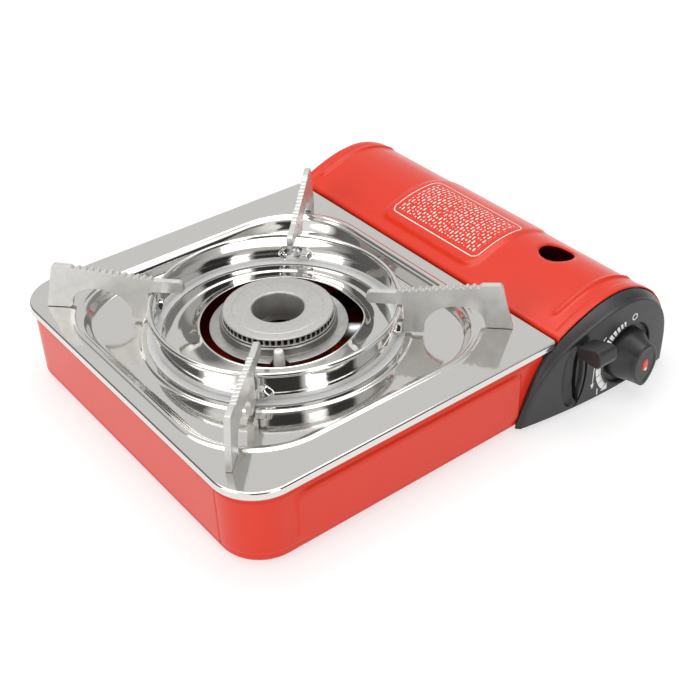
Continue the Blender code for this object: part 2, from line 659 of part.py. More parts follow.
scoop_boss = plate("scoop_boss", [scoop_loop(2.2)], 24.0, None, (0.0, -150.6, 0.0), ALONG_Y,
                   home=CUTTERS)
cut(hollow, scoop_boss, "MANIFOLD")
cut(control_panel, hollow, "MANIFOLD")
step_outline = [(80.0, -6.2), (121.0, -6.2), (121.0, -60.0), (240.0, -60.0), (240.0, 30.0),
                (80.0, 30.0)]
step_cutter = plate("step_cutter", [step_outline], 10.0, None, (0.0, -132.9, 0.0), ALONG_Y,
                    home=CUTTERS)
cut(control_panel, step_cutter, "MANIFOLD")
dish_cutter = cylinder("dish_cutter", DISH_RADIUS, 10.0, 40, None,
                       (KNOB_X, -148.4, KNOB_Z), ALONG_Y, home=CUTTERS)
cut(control_panel, dish_cutter, "MANIFOLD")
scoop_cutter = plate("scoop_cutter", [scoop_loop(0.0)], 12.0, None, (0.0, -147.2, 0.0), ALONG_Y,
                     home=CUTTERS)
cut(control_panel, scoop_cutter, "MANIFOLD")
spindle_hole = cylinder("spindle_hole_cutter", 3.6, 30.0, 20, None,
                        (KNOB_X, -146.0, KNOB_Z), ALONG_Y, home=CUTTERS)
cut(control_panel, spindle_hole, "MANIFOLD")
slot_through = block("lever_slot_cutter", (5.6, 30.0, 49.0), None, (LEVER_X, -146.0, -27.0),
                     home=CUTTERS)
cut(control_panel, slot_through, "MANIFOLD")

# ------------------------------------------------------------------ knob
def knob_loop(half, top, foot, y):
    """Knob section: an oval of its own height above the axis and depth below it."""
    points = []
    for index in range(36):
        a = 2.0 * math.pi * index / 36
        reach = top if math.sin(a) > 0.0 else foot
        points.append((half * math.cos(a), y, reach * math.sin(a)))
    return points


knob_sections = [knob_loop(17.2, 17.2, 17.2, 19.6), knob_loop(18.0, 18.0, 18.0, 18.8),
                 knob_loop(17.2, 17.8, 18.0, 14.0), knob_loop(13.4, 16.2, 18.2, 8.5),
                 knob_loop(11.4, 14.8, 17.8, 1.6), knob_loop(10.2, 13.6, 16.6, 0.0)]
knob = loft("knob", knob_sections, BLACK, (KNOB_X, KNOB_FRONT, KNOB_Z), cap_start=True,
            cap_end=True)
knob_bore = cylinder("knob_bore_cutter", 3.3, 16.0, 20, None, (KNOB_X, -149.6, KNOB_Z), ALONG_Y,
                     home=CUTTERS)
cut(knob, knob_bore)
mark = [(0.0, 0.0), (2.2, 0.0), (3.0, -0.7), (3.0, -0.9), (0.0, -0.9)]
lathe("knob_mark", mark, 20, SIGNAL, (KNOB_X, KNOB_FRONT - 1.2, KNOB_Z),
      (math.pi / 2.0, 0.0, 0.0), closed=False)

# ------------------------------------------------------------------ lock lever
lever_tab = [(-65.2, -3.6), (-65.2, 3.2), (-68.0, 4.4), (-84.0, 3.6), (-85.6, 1.6), (-85.0, -5.4),
             (-82.0, -8.2), (-78.0, -8.2), (-70.0, -4.6)]
lever = plate("lock_lever", [lever_tab[::-1]], 15.0, BLACK, (LEVER_X, LEVER_Y, LEVER_Z),
              (math.pi / 2.0, 0.0, math.pi / 2.0))
edge = lever.modifiers.new("edges", "BEVEL")
edge.width = 0.8 * MM
edge.segments = 2
edge.limit_method = "ANGLE"
arm_loop = [(-64.9, -2.8), (-64.9, 2.8), (-12.0, 4.5), (-4.5, 6.0), (-3.0, 13.5), (3.0, 13.5),
            (5.0, 4.5), (5.5, -3.0), (2.0, -6.0), (-3.0, -6.0), (-12.0, -4.0)]
lever_arm = plate("lever_arm", [arm_loop[::-1], circle(2.45, 16)], 1.6, ZINC,
                  (LEVER_X, LEVER_Y, LEVER_Z), (math.pi / 2.0, 0.0, math.pi / 2.0))
for moving in (lever, lever_arm):
    moving.matrix_world = (Matrix.Translation(at(LEVER_X, LEVER_Y, LEVER_Z))
                           @ Matrix.Rotation(LEVER_REST, 4, "X")
                           @ Matrix.Rotation(math.pi / 2.0, 4, "Z")
                           @ Matrix.Rotation(math.pi / 2.0, 4, "X"))

# Pivot pin riveted to the heat shield.
lever_pin = [(0.0, 11.2), (3.6, 11.2), (3.6, 9.6), (2.0, 9.6), (2.0, -7.4), (4.2, -7.4),
             (4.2, -8.6), (0.0, -8.6)]
lathe("lever_pin", lever_pin, 20, ZINC, (LEVER_X - 7.2 + 0.2, LEVER_Y, LEVER_Z),
      (0.0, math.pi / 2.0, 0.0), closed=False)

# Sliding plate that draws the cartridge's collar onto the port.
clamp_outer = [(-26.0, -31.0), (26.0, -31.0), (26.0, -8.0), (20.5, 9.0), (13.0, 9.0)]
notch = []
for index in range(13):
    a = math.radians(40.0 - 260.0 * index / 12)
    notch.append((14.5 * math.cos(a), 14.5 * math.sin(a)))
clamp_outer += notch
clamp_outer += [(-13.0, 9.0), (-20.5, 9.0), (-26.0, -8.0)]
plate("cartridge_clamp", [clamp_outer], 1.2, ZINC, (BAY_X, -100.6, BAY_Z), ALONG_Y)

# ------------------------------------------------------------------ lid
lid_loop = strip_loop(lid_centre_line(), LID_SHEET / 2.0)
lid_length = LID_REAR - LID_FRONT
lid = plate("lid", [[(x - HINGE_X, z - HINGE_Z) for x, z in lid_loop]], lid_length, RED,
            (HINGE_X, (LID_REAR + LID_FRONT) / 2.0, HINGE_Z), ALONG_Y)
vent_cutter = cylinder("vent_cutter", VENT_RADIUS, 30.0, 32, None, (VENT_X, VENT_Y, 12.0),
                       home=CUTTERS)
cut(lid, vent_cutter)
for index, y in enumerate((LID_FRONT, LID_REAR)):
    end_cutter = block("hinge_end_cutter_%d" % index, (12.0, 14.0, 7.6), None,
                       (223.0, y, -35.6), home=CUTTERS)
    cut(lid, end_cutter)
cylinder("hinge_rod", HINGE_ROD_RADIUS, 270.0, 16, ZINC, (HINGE_X, 0.0, HINGE_Z), ALONG_Y)

# ------------------------------------------------------------------ pan ring
# Flat washer plate under the ring.
seat = [(70.0, -6.5), (86.5, -6.5), (86.5, -7.3), (70.0, -7.3)]
lathe("ring_seat", seat, 40, GALVANISED, (0.0, 0.0, 0.0))

# Bright steel wind ring with a rolled rim.
outer = RING_RADIUS
inner = RING_RADIUS - RING_SHEET
ring_profile = [(inner, RING_TOP - 0.6)]
for degrees in (165.0, 120.0, 75.0, 30.0, -15.0, -60.0):
    a = math.radians(degrees)
    ring_profile.append((outer + 0.6 + RIM_ROLL * math.cos(a), RING_TOP + RIM_ROLL * math.sin(a)))
ring_profile += [(outer, RING_TOP - 1.6), (outer, -6.2), (inner, -6.2)]
wind_ring = lathe("wind_ring", ring_profile, 48, MIRROR_STEEL, (0.0, 0.0, 0.0))
holes = bmesh.new()
for index in range(4):
    spin = Matrix.Rotation(math.radians(45.0 + 90.0 * index), 4, "Z")
    move = Matrix.Translation(Vector((RING_RADIUS, 0.0, -1.8)) * MM)
    tip = Matrix.Rotation(math.pi / 2.0, 4, "Y")
    bmesh.ops.create_cone(holes, cap_ends=True, segments=16, radius1=2.4 * MM,
                          radius2=2.4 * MM, depth=6.0 * MM, matrix=spin @ move @ tip)
hole_mesh = bpy.data.meshes.new("ring_hole_cutter")
holes.to_mesh(hole_mesh)
holes.free()
ring_holes = add_object("ring_hole_cutter", hole_mesh, None, (0.0, 0.0, 0.0), home=CUTTERS)
cut(wind_ring, ring_holes)


def support_loop():
    """Side outline of one pot support: foot, flat top, teeth, tip, ring notch, arch."""
    points = [(137.2, 0.35), (153.6, 0.35), (149.4, 16.0), (145.9, 30.6), (144.2, 32.4),
              (132.6, 31.8), (130.6, 29.8)]
    first = 129.4
    last = 78.0
    pitch = (first - last) / SUPPORT_TEETH
    for index in range(SUPPORT_TEETH):
        r = first - pitch * index
        z = 29.9 - (first - r) * 0.118
        points += [(r, z), (r - pitch * 0.18, z + 0.9), (r - pitch * 0.62, z + 0.8),
                   (r - pitch * 0.8, z - 0.25)]
    points += [(77.0, 23.8), (62.0, 23.4), (60.0, 22.2), (59.3, 19.5), (59.6, 16.6), (61.0, 15.1),
               (82.4, 14.9), (83.3, 14.2), (83.3, -5.2), (84.2, -6.0), (95.6, -6.0), (96.6, -5.0),
               (96.6, 1.0), (98.6, 5.6), (102.4, 10.0), (107.6, 13.2), (114.0, 15.0),
               (121.5, 15.2), (128.0, 13.4), (132.4, 10.4), (134.8, 6.6), (135.6, 2.4)]
    return points


# Galvanised pot supports, each riveted through the ring.
for index in range(4):
    a = math.radians(45.0 + 90.0 * index)
    plate("pot_support_%d" % (index + 1), [support_loop()], SUPPORT_THICKNESS, GALVANISED,
          (0.0, 0.0, 0.0), (math.pi / 2.0, 0.0, a))
    rivet = [(0.0, 3.2), (1.8, 3.2), (1.8, -1.2), (3.6, -1.2), (3.4, -2.2), (2.0, -3.0),
             (0.0, -3.2)]
    place = (79.8 * math.cos(a), 79.8 * math.sin(a), -1.8)
    lathe("support_rivet_%d" % (index + 1), rivet, 16, ZINC, place, (0.0, math.pi / 2.0, a),
          closed=False)

# ------------------------------------------------------------------ shading
for made in STOVE.objects:
    if made.type == "MESH" and not any(m.type == "SCREW" for m in made.modifiers):
        smooth(made)
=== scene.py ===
"""Camping stove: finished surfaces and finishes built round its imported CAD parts."""

import json
import math

import bmesh
import bpy
import numpy as np
from mathutils import Euler, Matrix, Vector

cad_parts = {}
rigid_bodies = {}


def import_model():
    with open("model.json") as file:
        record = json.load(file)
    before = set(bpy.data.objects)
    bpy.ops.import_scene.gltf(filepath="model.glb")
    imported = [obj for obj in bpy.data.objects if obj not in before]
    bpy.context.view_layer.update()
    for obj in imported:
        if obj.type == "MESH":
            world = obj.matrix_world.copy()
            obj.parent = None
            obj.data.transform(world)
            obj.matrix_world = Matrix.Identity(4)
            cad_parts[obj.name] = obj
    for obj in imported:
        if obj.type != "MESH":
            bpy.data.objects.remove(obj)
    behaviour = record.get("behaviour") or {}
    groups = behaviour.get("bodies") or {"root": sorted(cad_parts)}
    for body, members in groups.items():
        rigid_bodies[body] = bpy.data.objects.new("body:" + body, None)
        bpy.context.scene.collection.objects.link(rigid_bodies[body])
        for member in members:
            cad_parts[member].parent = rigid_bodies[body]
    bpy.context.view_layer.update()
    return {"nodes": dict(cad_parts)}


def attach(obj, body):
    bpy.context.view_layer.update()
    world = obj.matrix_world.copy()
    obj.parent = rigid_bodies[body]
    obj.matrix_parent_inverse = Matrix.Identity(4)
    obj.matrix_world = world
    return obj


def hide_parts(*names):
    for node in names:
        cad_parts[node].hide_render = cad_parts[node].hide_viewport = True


for leftover in list(bpy.data.objects):
    bpy.data.objects.remove(leftover)
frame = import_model()
cad_nodes = frame["nodes"]

# ---------------------------------------------------------------- table, light and camera
# The stove stands on a pale table top under soft light, in a room whose walls are light
# and dark in turn for the bright steel to mirror. None of this is part of it.
table_mesh = bpy.data.meshes.new("table_top")
table_mesh.from_pydata([(-6, -6, -0.0002), (6, -6, -0.0002), (6, 6, -0.0002), (-6, 6, -0.0002)],
                       [], [(0, 1, 2, 3)])
table_top = bpy.data.objects.new("table_top", table_mesh)
bpy.context.scene.collection.objects.link(table_top)
table_finish = bpy.data.materials.new("pale_table")
table_finish.use_nodes = True
table_shader = table_finish.node_tree.nodes["Principled BSDF"]
table_shader.inputs["Base Color"].default_value = (0.4, 0.4, 0.4, 1.0)
table_shader.inputs["Emission Color"].default_value = (1.0, 1.0, 1.0, 1.0)
table_shader.inputs["Emission Strength"].default_value = 0.62
table_shader.inputs["Roughness"].default_value = 0.9
table_mesh.materials.append(table_finish)

room = bpy.data.worlds.new("soft_room")
bpy.context.scene.world = room
room.use_nodes = True
room_nodes = room.node_tree.nodes
room_links = room.node_tree.links
room_sky = room_nodes["Background"]
room_sky.inputs["Strength"].default_value = 1.0
room_way = room_nodes.new("ShaderNodeTexCoord")
room_split = room_nodes.new("ShaderNodeSeparateXYZ")
room_height = room_nodes.new("ShaderNodeValToRGB")
room_turn = room_nodes.new("ShaderNodeTexGradient")
room_turn.gradient_type = "RADIAL"
room_flags = room_nodes.new("ShaderNodeValToRGB")
room_mix = room_nodes.new("ShaderNodeMix")
room_mix.data_type = "RGBA"
room_low = room_nodes.new("ShaderNodeMapRange")
room_links.new(room_way.outputs["Generated"], room_split.inputs[0])
room_links.new(room_split.outputs["Z"], room_height.inputs[0])
room_links.new(room_way.outputs["Generated"], room_turn.inputs[0])
room_links.new(room_turn.outputs["Fac"], room_flags.inputs[0])
room_links.new(room_split.outputs["Z"], room_low.inputs["Value"])
room_low.inputs["From Min"].default_value = 0.86
room_low.inputs["From Max"].default_value = 0.68
room_height.color_ramp.elements[0].position = 0.0
room_height.color_ramp.elements[0].color = (0.80, 0.80, 0.80, 1.0)
room_height.color_ramp.elements[1].position = 1.0
room_height.color_ramp.elements[1].color = (0.74, 0.73, 0.71, 1.0)
middle = room_height.color_ramp.elements.new(0.45)
middle.color = (0.92, 0.92, 0.92, 1.0)
flag_ramp = room_flags.color_ramp
flag_ramp.elements[0].position = 0.0
flag_ramp.elements[0].color = (1.0, 1.0, 1.0, 1.0)
flag_ramp.elements[1].position = 1.0
flag_ramp.elements[1].color = (1.0, 1.0, 1.0, 1.0)
# Places round the room, as shares of a full turn, and how light its wall is there.
wall_levels = ((0.105, 1.0), (0.12, 0.05), (0.205, 0.05), (0.22, 1.0), (0.264, 1.0),
               (0.28, 0.04), (0.355, 0.04), (0.372, 0.6), (0.425, 0.6), (0.445, 0.3),
               (0.53, 0.3), (0.55, 0.76), (0.755, 0.76), (0.79, 0.2), (0.93, 0.14),
               (0.96, 1.0))
for place, level in wall_levels:
    stop = flag_ramp.elements.new(place)
    stop.color = (level, level, level, 1.0)
room_links.new(room_low.outputs["Result"], room_mix.inputs["Factor"])
room_links.new(room_height.outputs[0], room_mix.inputs["A"])
room_links.new(room_flags.outputs[0], room_mix.inputs["B"])
room_seen = room_nodes.new("ShaderNodeLightPath")
room_plain = room_nodes.new("ShaderNodeMix")
room_plain.data_type = "RGBA"
room_plain.inputs["B"].default_value = (0.93, 0.93, 0.93, 1.0)
room_links.new(room_seen.outputs["Is Camera Ray"], room_plain.inputs["Factor"])
room_links.new(room_mix.outputs["Result"], room_plain.inputs["A"])
room_links.new(room_plain.outputs["Result"], room_sky.inputs["Color"])


def soft_box(name, place, aim, width, height, power):
    """Rectangular soft light at a place, facing a point."""
    data = bpy.data.lights.new(name, "AREA")
    data.shape = "RECTANGLE"
    data.size = width
    data.size_y = height
    data.energy = power
    box = bpy.data.objects.new(name, data)
    bpy.context.scene.collection.objects.link(box)
    box.location = place
    box.rotation_euler = (Vector(aim) - Vector(place)).to_track_quat("-Z", "Y").to_euler()


soft_box("overhead_light", (0.1, 0.3, 1.7), (0.0, 0.0, 0.0), 1.6, 1.2, 14.0)
soft_box("front_light", (-0.09, -1.75, 0.9), (0.0, 0.0, 0.03), 0.5, 0.8, 8.0)
soft_box("left_light", (-1.75, 0.0, 0.85), (0.0, 0.0, 0.03), 0.9, 0.7, 6.0)

azimuth = math.radians(-38.075)
elevation = math.radians(36.972)
tilt = math.radians(-1.108)
camera_back = np.array([math.sin(azimuth) * math.cos(elevation),
                        -math.cos(azimuth) * math.cos(elevation), math.sin(elevation)])
level_right = np.array([math.cos(azimuth), math.sin(azimuth), 0.0])
level_up = np.cross(level_right, -camera_back)
camera_right = math.cos(tilt) * level_right + math.sin(tilt) * level_up
camera_up = -math.sin(tilt) * level_right + math.cos(tilt) * level_up
camera_data = bpy.data.cameras.new("camera")
camera_data.lens = 62.25
camera_data.sensor_width = 36.0
camera_data.shift_x = -0.0309
camera_data.shift_y = 0.0268
camera = bpy.data.objects.new("camera", camera_data)
bpy.context.scene.collection.objects.link(camera)
camera_place = (-0.40699, -0.53535, 0.50408)
camera.matrix_world = Matrix(
    [[camera_right[i], camera_up[i], camera_back[i], camera_place[i]] for i in range(3)]
    + [[0.0, 0.0, 0.0, 1.0]])
bpy.context.scene.camera = camera
bpy.context.scene.view_settings.view_transform = "Standard"

# ---------------------------------------------------------------- pressed case
# One deep-drawn steel tray, baked in red enamel. Its walls carry two rolled swage
# lines and a raised front field, and its right side is cut low for the lid.
TOP_MIDDLE = (-53.28, 15.73, 58.0)
CASE_LEFT, CASE_RIGHT, CASE_HALF = -117.3, 225.0, 135.3
LID_START = 118.2
WALL_FOOT = -51.8
FOOT_FOLD = 3.2
FIELD_LEFT, FIELD_RIGHT = -83.0, 90.0
SEAM_Y = -105.0


def row(points):
    """Working millimetres about the middle of the steel top, as metres from the feet."""
    return (np.asarray(points, float) + TOP_MIDDLE) * 0.001


def ease(t):
    """0 below 0, 1 above 1, and 3 t squared less 2 t cubed between."""
    t = np.clip(t, 0.0, 1.0)
    return t * t * (3.0 - 2.0 * t)


def stations(start, end, step, near=(), half=2.8, fine=0.7):
    """Positions from start to end at even steps, with closer ones round each place in near."""
    spots = [np.linspace(start, end, max(2, int(abs(end - start) / step) + 1))]
    spots += [np.arange(c - half, c + half + 1e-6, fine) for c in near]
    spots = np.unique(np.round(np.concatenate(spots), 3))
    spots = spots[(spots >= min(start, end)) & (spots <= max(start, end))]
    return spots if end > start else spots[::-1]


def link_mesh(name, points, faces):
    """Object whose mesh holds the points, in metres, and the faces, shaded smooth."""
    mesh = bpy.data.meshes.new(name)
    mesh.from_pydata(np.asarray(points).tolist(), [], faces)
    mesh.shade_smooth()
    made = bpy.data.objects.new(name, mesh)
    bpy.context.scene.collection.objects.link(made)
    return made


def grid_faces(rows, columns, around=False, along=False):
    """Quads between a grid's neighbouring points, facing its column way crossed with its row way."""
    i = np.arange(rows if along else rows - 1)
    j = np.arange(columns if around else columns - 1)
    i, j = np.meshgrid(i, j, indexing="ij")
    up, over = (i + 1) % rows, (j + 1) % columns
    return np.stack([i * columns + j, i * columns + over, up * columns + over,
                     up * columns + j], -1).reshape(-1, 4)


def skin(name, grid, around=False, along=False, first_cap=False, last_cap=False, keep=None):
    """Surface through a grid of points in working millimetres, its ends capped if asked."""
    rows, columns = grid.shape[:2]
    faces = grid_faces(rows, columns, around, along)
    if keep is not None:
        faces = faces[keep(grid.reshape(-1, 3)[faces])]
    faces = faces.tolist()
    if first_cap:
        faces.append(list(range(columns))[::-1])
    if last_cap:
        faces.append(list(range((rows - 1) * columns, rows * columns)))
    made = link_mesh(name, row(grid.reshape(-1, 3)), faces)
    clean = bmesh.new()
    clean.from_mesh(made.data)
    bmesh.ops.remove_doubles(clean, verts=clean.verts, dist=2e-6)
    loose = [v for v in clean.verts if not v.link_faces]
    bmesh.ops.delete(clean, geom=loose, context="VERTS")
    clean.to_mesh(made.data)
    clean.free()
    return made


def wall(piece, thickness, offset=-1.0):
    """Give an open skin its sheet thickness: on its inner side, or half each side at offset 0."""
    sheet = piece.modifiers.new("sheet", "SOLIDIFY")
    sheet.thickness = thickness * 0.001
    sheet.offset = offset
    sheet.use_even_offset = False
    return piece


def crisp(piece, angle=35.0):
    """Shade edges sharper than the angle as edges."""
    piece.data.shade_smooth()
    piece.data.set_sharp_from_angle(angle=math.radians(angle))
    return piece


def finish(name, colour, roughness, metallic=0.0, **sockets):
    """Principled finish with its constant values on the shader's own sockets."""
    made = bpy.data.materials.new(name)
    made.use_nodes = True
    shader = made.node_tree.nodes["Principled BSDF"]
    shader.inputs["Base Color"].default_value = (*colour, 1.0)
    shader.inputs["Roughness"].default_value = roughness
    shader.inputs["Metallic"].default_value = metallic
    for socket, value in sockets.items():
        shader.inputs[socket.replace("_", " ")].default_value = value
    place = made.node_tree.nodes.new("ShaderNodeTexCoord")
    place.name = "place"
    return made


def noise_on(material, scale, detail):
    """Noise over the piece, its scale in lumps to the metre."""
    tree = material.node_tree
    noise = tree.nodes.new("ShaderNodeTexNoise")
    noise.inputs["Scale"].default_value = scale
    noise.inputs["Detail"].default_value = detail
    tree.links.new(tree.nodes["place"].outputs["Object"], noise.inputs["Vector"])
    return noise.outputs["Fac"]


def mottle(material, one, other, scale, low=0.35, high=0.65):
    """Colour drifting between two shades."""
    tree = material.node_tree
    ramp = tree.nodes.new("ShaderNodeValToRGB")
    ramp.color_ramp.elements[0].position = low
    ramp.color_ramp.elements[0].color = (*one, 1.0)
    ramp.color_ramp.elements[1].position = high
    ramp.color_ramp.elements[1].color = (*other, 1.0)
    tree.links.new(noise_on(material, scale, 4.0), ramp.inputs[0])
    tree.links.new(ramp.outputs[0], tree.nodes["Principled BSDF"].inputs["Base Color"])


def uneven(material, low, high, scale):
    """Roughness drifting between two values, as handling and rolling leave it."""
    tree = material.node_tree
    spread = tree.nodes.new("ShaderNodeMapRange")
    spread.inputs["From Min"].default_value = 0.2
    spread.inputs["From Max"].default_value = 0.8
    spread.inputs["To Min"].default_value = low
    spread.inputs["To Max"].default_value = high
    tree.links.new(noise_on(material, scale, 1.5), spread.inputs["Value"])
    tree.links.new(spread.outputs["Result"], tree.nodes["Principled BSDF"].inputs["Roughness"])


def relief(material, scale, depth, strength=1.0, detail=2.0):
    """Fine bumps of about the given depth in millimetres."""
    tree = material.node_tree
    bump = tree.nodes.new("ShaderNodeBump")
    bump.inputs["Strength"].default_value = strength
    bump.inputs["Distance"].default_value = depth * 0.001
    tree.links.new(noise_on(material, scale, detail), bump.inputs["Height"])
    tree.links.new(bump.outputs["Normal"], tree.nodes["Principled BSDF"].inputs["Normal"])


def fitted(piece, body, slot, *stands_for):
    """Piece rides on its body and stands for its CAD solids; its slot argument is not used."""
    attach(piece, body)
    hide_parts(*stands_for)
    return piece


def plan_outline(x0, x1, y0, y1, left, right, step, near_x=(), near_y=()):
    """Round-cornered rectangle, anticlockwise: points, and their outward normals."""
    quarter = np.radians(np.linspace(0.0, 90.0, 22))[1:-1]
    points, normals = [], []
    sides = (((x1, None), stations(y0 + right, y1 - right, step, near_y), (1.0, 0.0)),
             ((None, y1), stations(x1 - right, x0 + left, step, near_x), (0.0, 1.0)),
             ((x0, None), stations(y1 - left, y0 + left, step, near_y), (-1.0, 0.0)),
             ((None, y0), stations(x0 + left, x1 - right, step, near_x), (0.0, -1.0)))
    corners = ((x1 - right, y1 - right, right), (x0 + left, y1 - left, left),
               (x0 + left, y0 + left, left), (x1 - right, y0 + right, right))
    for k, ((x, y), spots, normal) in enumerate(sides):
        fixed = np.full(len(spots), x if y is None else y)
        points.append(np.stack([fixed, spots] if y is None else [spots, fixed], -1))
        normals.append(np.tile(normal, (len(spots), 1)))
        cx, cy, r = corners[k]
        turn = quarter + k * math.pi / 2.0
        out = np.stack([np.cos(turn), np.sin(turn)], -1)
        points.append(out * r + (cx, cy))
        normals.append(out)
    return np.concatenate(points), np.concatenate(normals)


def rounded_field(u, v, box, corner, edge):
    """1 inside a round-cornered rectangle, easing to 0 across its edge width."""
    u0, u1, v0, v1 = box
    qu = np.abs(u - (u0 + u1) / 2.0) - (u1 - u0) / 2.0 + corner
    qv = np.abs(v - (v0 + v1) / 2.0) - (v1 - v0) / 2.0 + corner
    away = np.hypot(np.maximum(qu, 0.0), np.maximum(qv, 0.0))
    away = away + np.minimum(np.maximum(qu, qv), 0.0) - corner
    return ease(0.5 - away / edge)


case_outline, case_out = plan_outline(CASE_LEFT, CASE_RIGHT, -CASE_HALF, CASE_HALF, 28.0, 4.2,
                                      3.2, (FIELD_LEFT, FIELD_RIGHT, LID_START), (SEAM_Y,))
case_low = np.where(case_outline[:, 0] > LID_START, -38.9, -1.4)
case_rows = np.concatenate([np.linspace(0.0, 0.07, 3), stations(0.08, 0.22, 0.02),
                            stations(0.25, 0.78, 0.06), stations(0.8, 1.0, 0.012)])
case_rows = np.unique(case_rows)
wall_height = case_low[None, :] - WALL_FOOT
wall_z = WALL_FOOT + case_rows[:, None] * wall_height
field = rounded_field(case_outline[None, :, 0], wall_z, (FIELD_LEFT, FIELD_RIGHT, -49.0, -11.5),
                      6.0, 1.4)
field = field * (case_out[None, :, 1] < -0.9)
swage = np.exp(-((wall_z + 8.6) / 0.8) ** 2) + np.exp(-((wall_z + 50.0) / 0.8) ** 2)
seam = np.exp(-((case_outline[None, :, 1] - SEAM_Y) / 0.55) ** 2) * (case_out[None, :, 0] < -0.9)
press = 1.5 * field - 0.6 * swage * (1.0 - field) - 0.6 * seam
case_wall = np.concatenate([case_outline[None] + case_out[None] * press[..., None],
                            wall_z[..., None]], -1)
fold_turn = np.radians(np.linspace(0.0, 90.0, 7))[:-1]
case_fold = [np.column_stack([case_outline - case_out * FOOT_FOLD * (1.0 - math.sin(a)),
                              np.full(len(case_outline), WALL_FOOT - FOOT_FOLD * math.cos(a))])
             for a in fold_turn]
middle_of_case = np.array([53.9, 0.0])
case_floor = []
for share in np.concatenate([[0.03], np.linspace(0.15, 0.95, 33), [0.975]]):
    plan = middle_of_case + (case_outline - middle_of_case) * share
    beads = np.exp(-((share - 0.86) / 0.02) ** 2) + np.exp(-((share - 0.5) / 0.035) ** 2)
    case_floor.append(np.column_stack([plan, np.full(len(plan), -55.0 + 1.2 * beads)]))
case_grid = np.concatenate([np.array(case_floor), np.array(case_fold), case_wall])
case = wall(skin("pressed_case", case_grid, around=True, first_cap=True), 0.9)
red_enamel = finish("red_enamel", (0.71, 0.031, 0.008), 0.3, Coat_Weight=0.2,
                    Coat_Roughness=0.1, Specular_IOR_Level=0.3)
mottle(red_enamel, (0.70, 0.029, 0.0075), (0.72, 0.033, 0.0085), 12.0, 0.0, 1.0)
uneven(red_enamel, 0.29, 0.32, 20.0)
relief(red_enamel, 500.0, 0.002)
case.data.materials.append(red_enamel)
fitted(case, "base", "red_enamel", "base_tray")

# ---------------------------------------------------------------- rubber feet
# Four moulded rubber feet pushed up into the floor, each a round button with a
# chamfered sole and a shallow dimple left by the mould.


def soften(profile, reach=0.4, closed=True, steps=4):
    """Profile with each corner replaced by a small parabola reaching that far along its sides."""
    p = np.asarray(profile, float)
    before, after = np.roll(p, 1, 0) - p, np.roll(p, -1, 0) - p
    one = np.linalg.norm(before, axis=1, keepdims=True)
    two = np.linalg.norm(after, axis=1, keepdims=True)
    one_in = before / np.maximum(one, 1e-9) * np.minimum(reach, one * 0.4)
    two_in = after / np.maximum(two, 1e-9) * np.minimum(reach, two * 0.4)
    if not closed:
        one_in[[0, -1]] = 0.0
        two_in[[0, -1]] = 0.0
    t = np.linspace(0.0, 1.0, steps)[None, :, None]
    arc = p[:, None] + one_in[:, None] * (1.0 - t) ** 2 + two_in[:, None] * t ** 2
    arc = arc.reshape(-1, 2)
    if not closed:
        arc = arc[steps - 1:len(arc) - steps + 1]
    return arc


def turned(name, profile, place, turn=(0.0, 0.0, 0.0), steps=96, closed=True, reach=0.4,
           shape=None):
    """Radius and height profile carried round its own Z, then turned and placed."""
    line = soften(profile, reach, closed)
    area = np.sum(line[:, 0] * np.roll(line[:, 1], -1) - np.roll(line[:, 0], -1) * line[:, 1])
    if area < 0.0:
        line = line[::-1]
    a = np.linspace(0.0, 2.0 * math.pi, steps, endpoint=False)
    r = np.repeat(line[:, :1], steps, 1)
    z = np.repeat(line[:, 1:], steps, 1)
    if shape is not None:
        r, z = shape(r, z, a[None, :])
    grid = np.stack([r * np.cos(a), r * np.sin(a), z], -1)
    grid = grid @ np.array(Euler(turn).to_matrix()).T + np.asarray(place, float)
    return crisp(skin(name, grid, around=True, along=closed))


rubber = finish("black_rubber", (0.02, 0.02, 0.02), 0.8)
mottle(rubber, (0.016, 0.016, 0.016), (0.03, 0.03, 0.029), 300.0)
relief(rubber, 1500.0, 0.03)
foot_profile = [(0.0, -57.4), (4.6, -57.4), (5.0, -58.0), (6.7, -58.0), (7.5, -57.2),
                (7.5, -55.3), (0.0, -55.3)]
for number, (x, y) in enumerate(((-92.0, -108.0), (-92.0, 108.0), (200.0, 108.0),
                                 (200.0, -108.0)), 1):
    foot = turned("rubber_foot_%d" % number, foot_profile, (x, y, 0.0), closed=False, reach=0.3,
                  steps=72)
    foot.data.materials.append(rubber)
    fitted(foot, "base", "black_rubber", "foot_%d" % number)

# ---------------------------------------------------------------- steel top
# Bright stainless sheet pressed in one blow: rolled rim, raised bead round a deep
# recess, flat seat for the ring and a turned-up lip round the burner's opening.
QUARTER_ARC = 40
QUARTER_SIDE = 24
BURNER = (1.0, -1.0)


def top_loop(x0, x1, y0, y1, left, right):
    """Rectangle outline with every quarter an arc and then a straight, point matched to point."""
    out = []
    corners = ((x1, y1, right), (x0, y1, left), (x0, y0, left), (x1, y0, right))
    arcs = []
    for k, (x, y, r) in enumerate(corners):
        centre = np.array([x - r if x == x1 else x + r, y - r if y == y1 else y + r])
        turn = np.linspace(0.0, math.pi / 2.0, QUARTER_ARC + 1) + k * math.pi / 2.0
        arcs.append(centre + r * np.stack([np.cos(turn), np.sin(turn)], -1))
    for k in range(4):
        out.append(arcs[k])
        share = np.linspace(0.0, 1.0, QUARTER_SIDE + 1)[1:-1, None]
        out.append(arcs[k][-1] * (1.0 - share) + arcs[(k + 1) % 4][0] * share)
    return np.concatenate(out)[:4 * (QUARTER_ARC + QUARTER_SIDE)]


LOOP_COUNT = 4 * (QUARTER_ARC + QUARTER_SIDE)
LOOP_TURN = (math.pi / 4.0 - QUARTER_ARC * math.pi / LOOP_COUNT
             + 2.0 * math.pi * np.arange(LOOP_COUNT) / LOOP_COUNT)


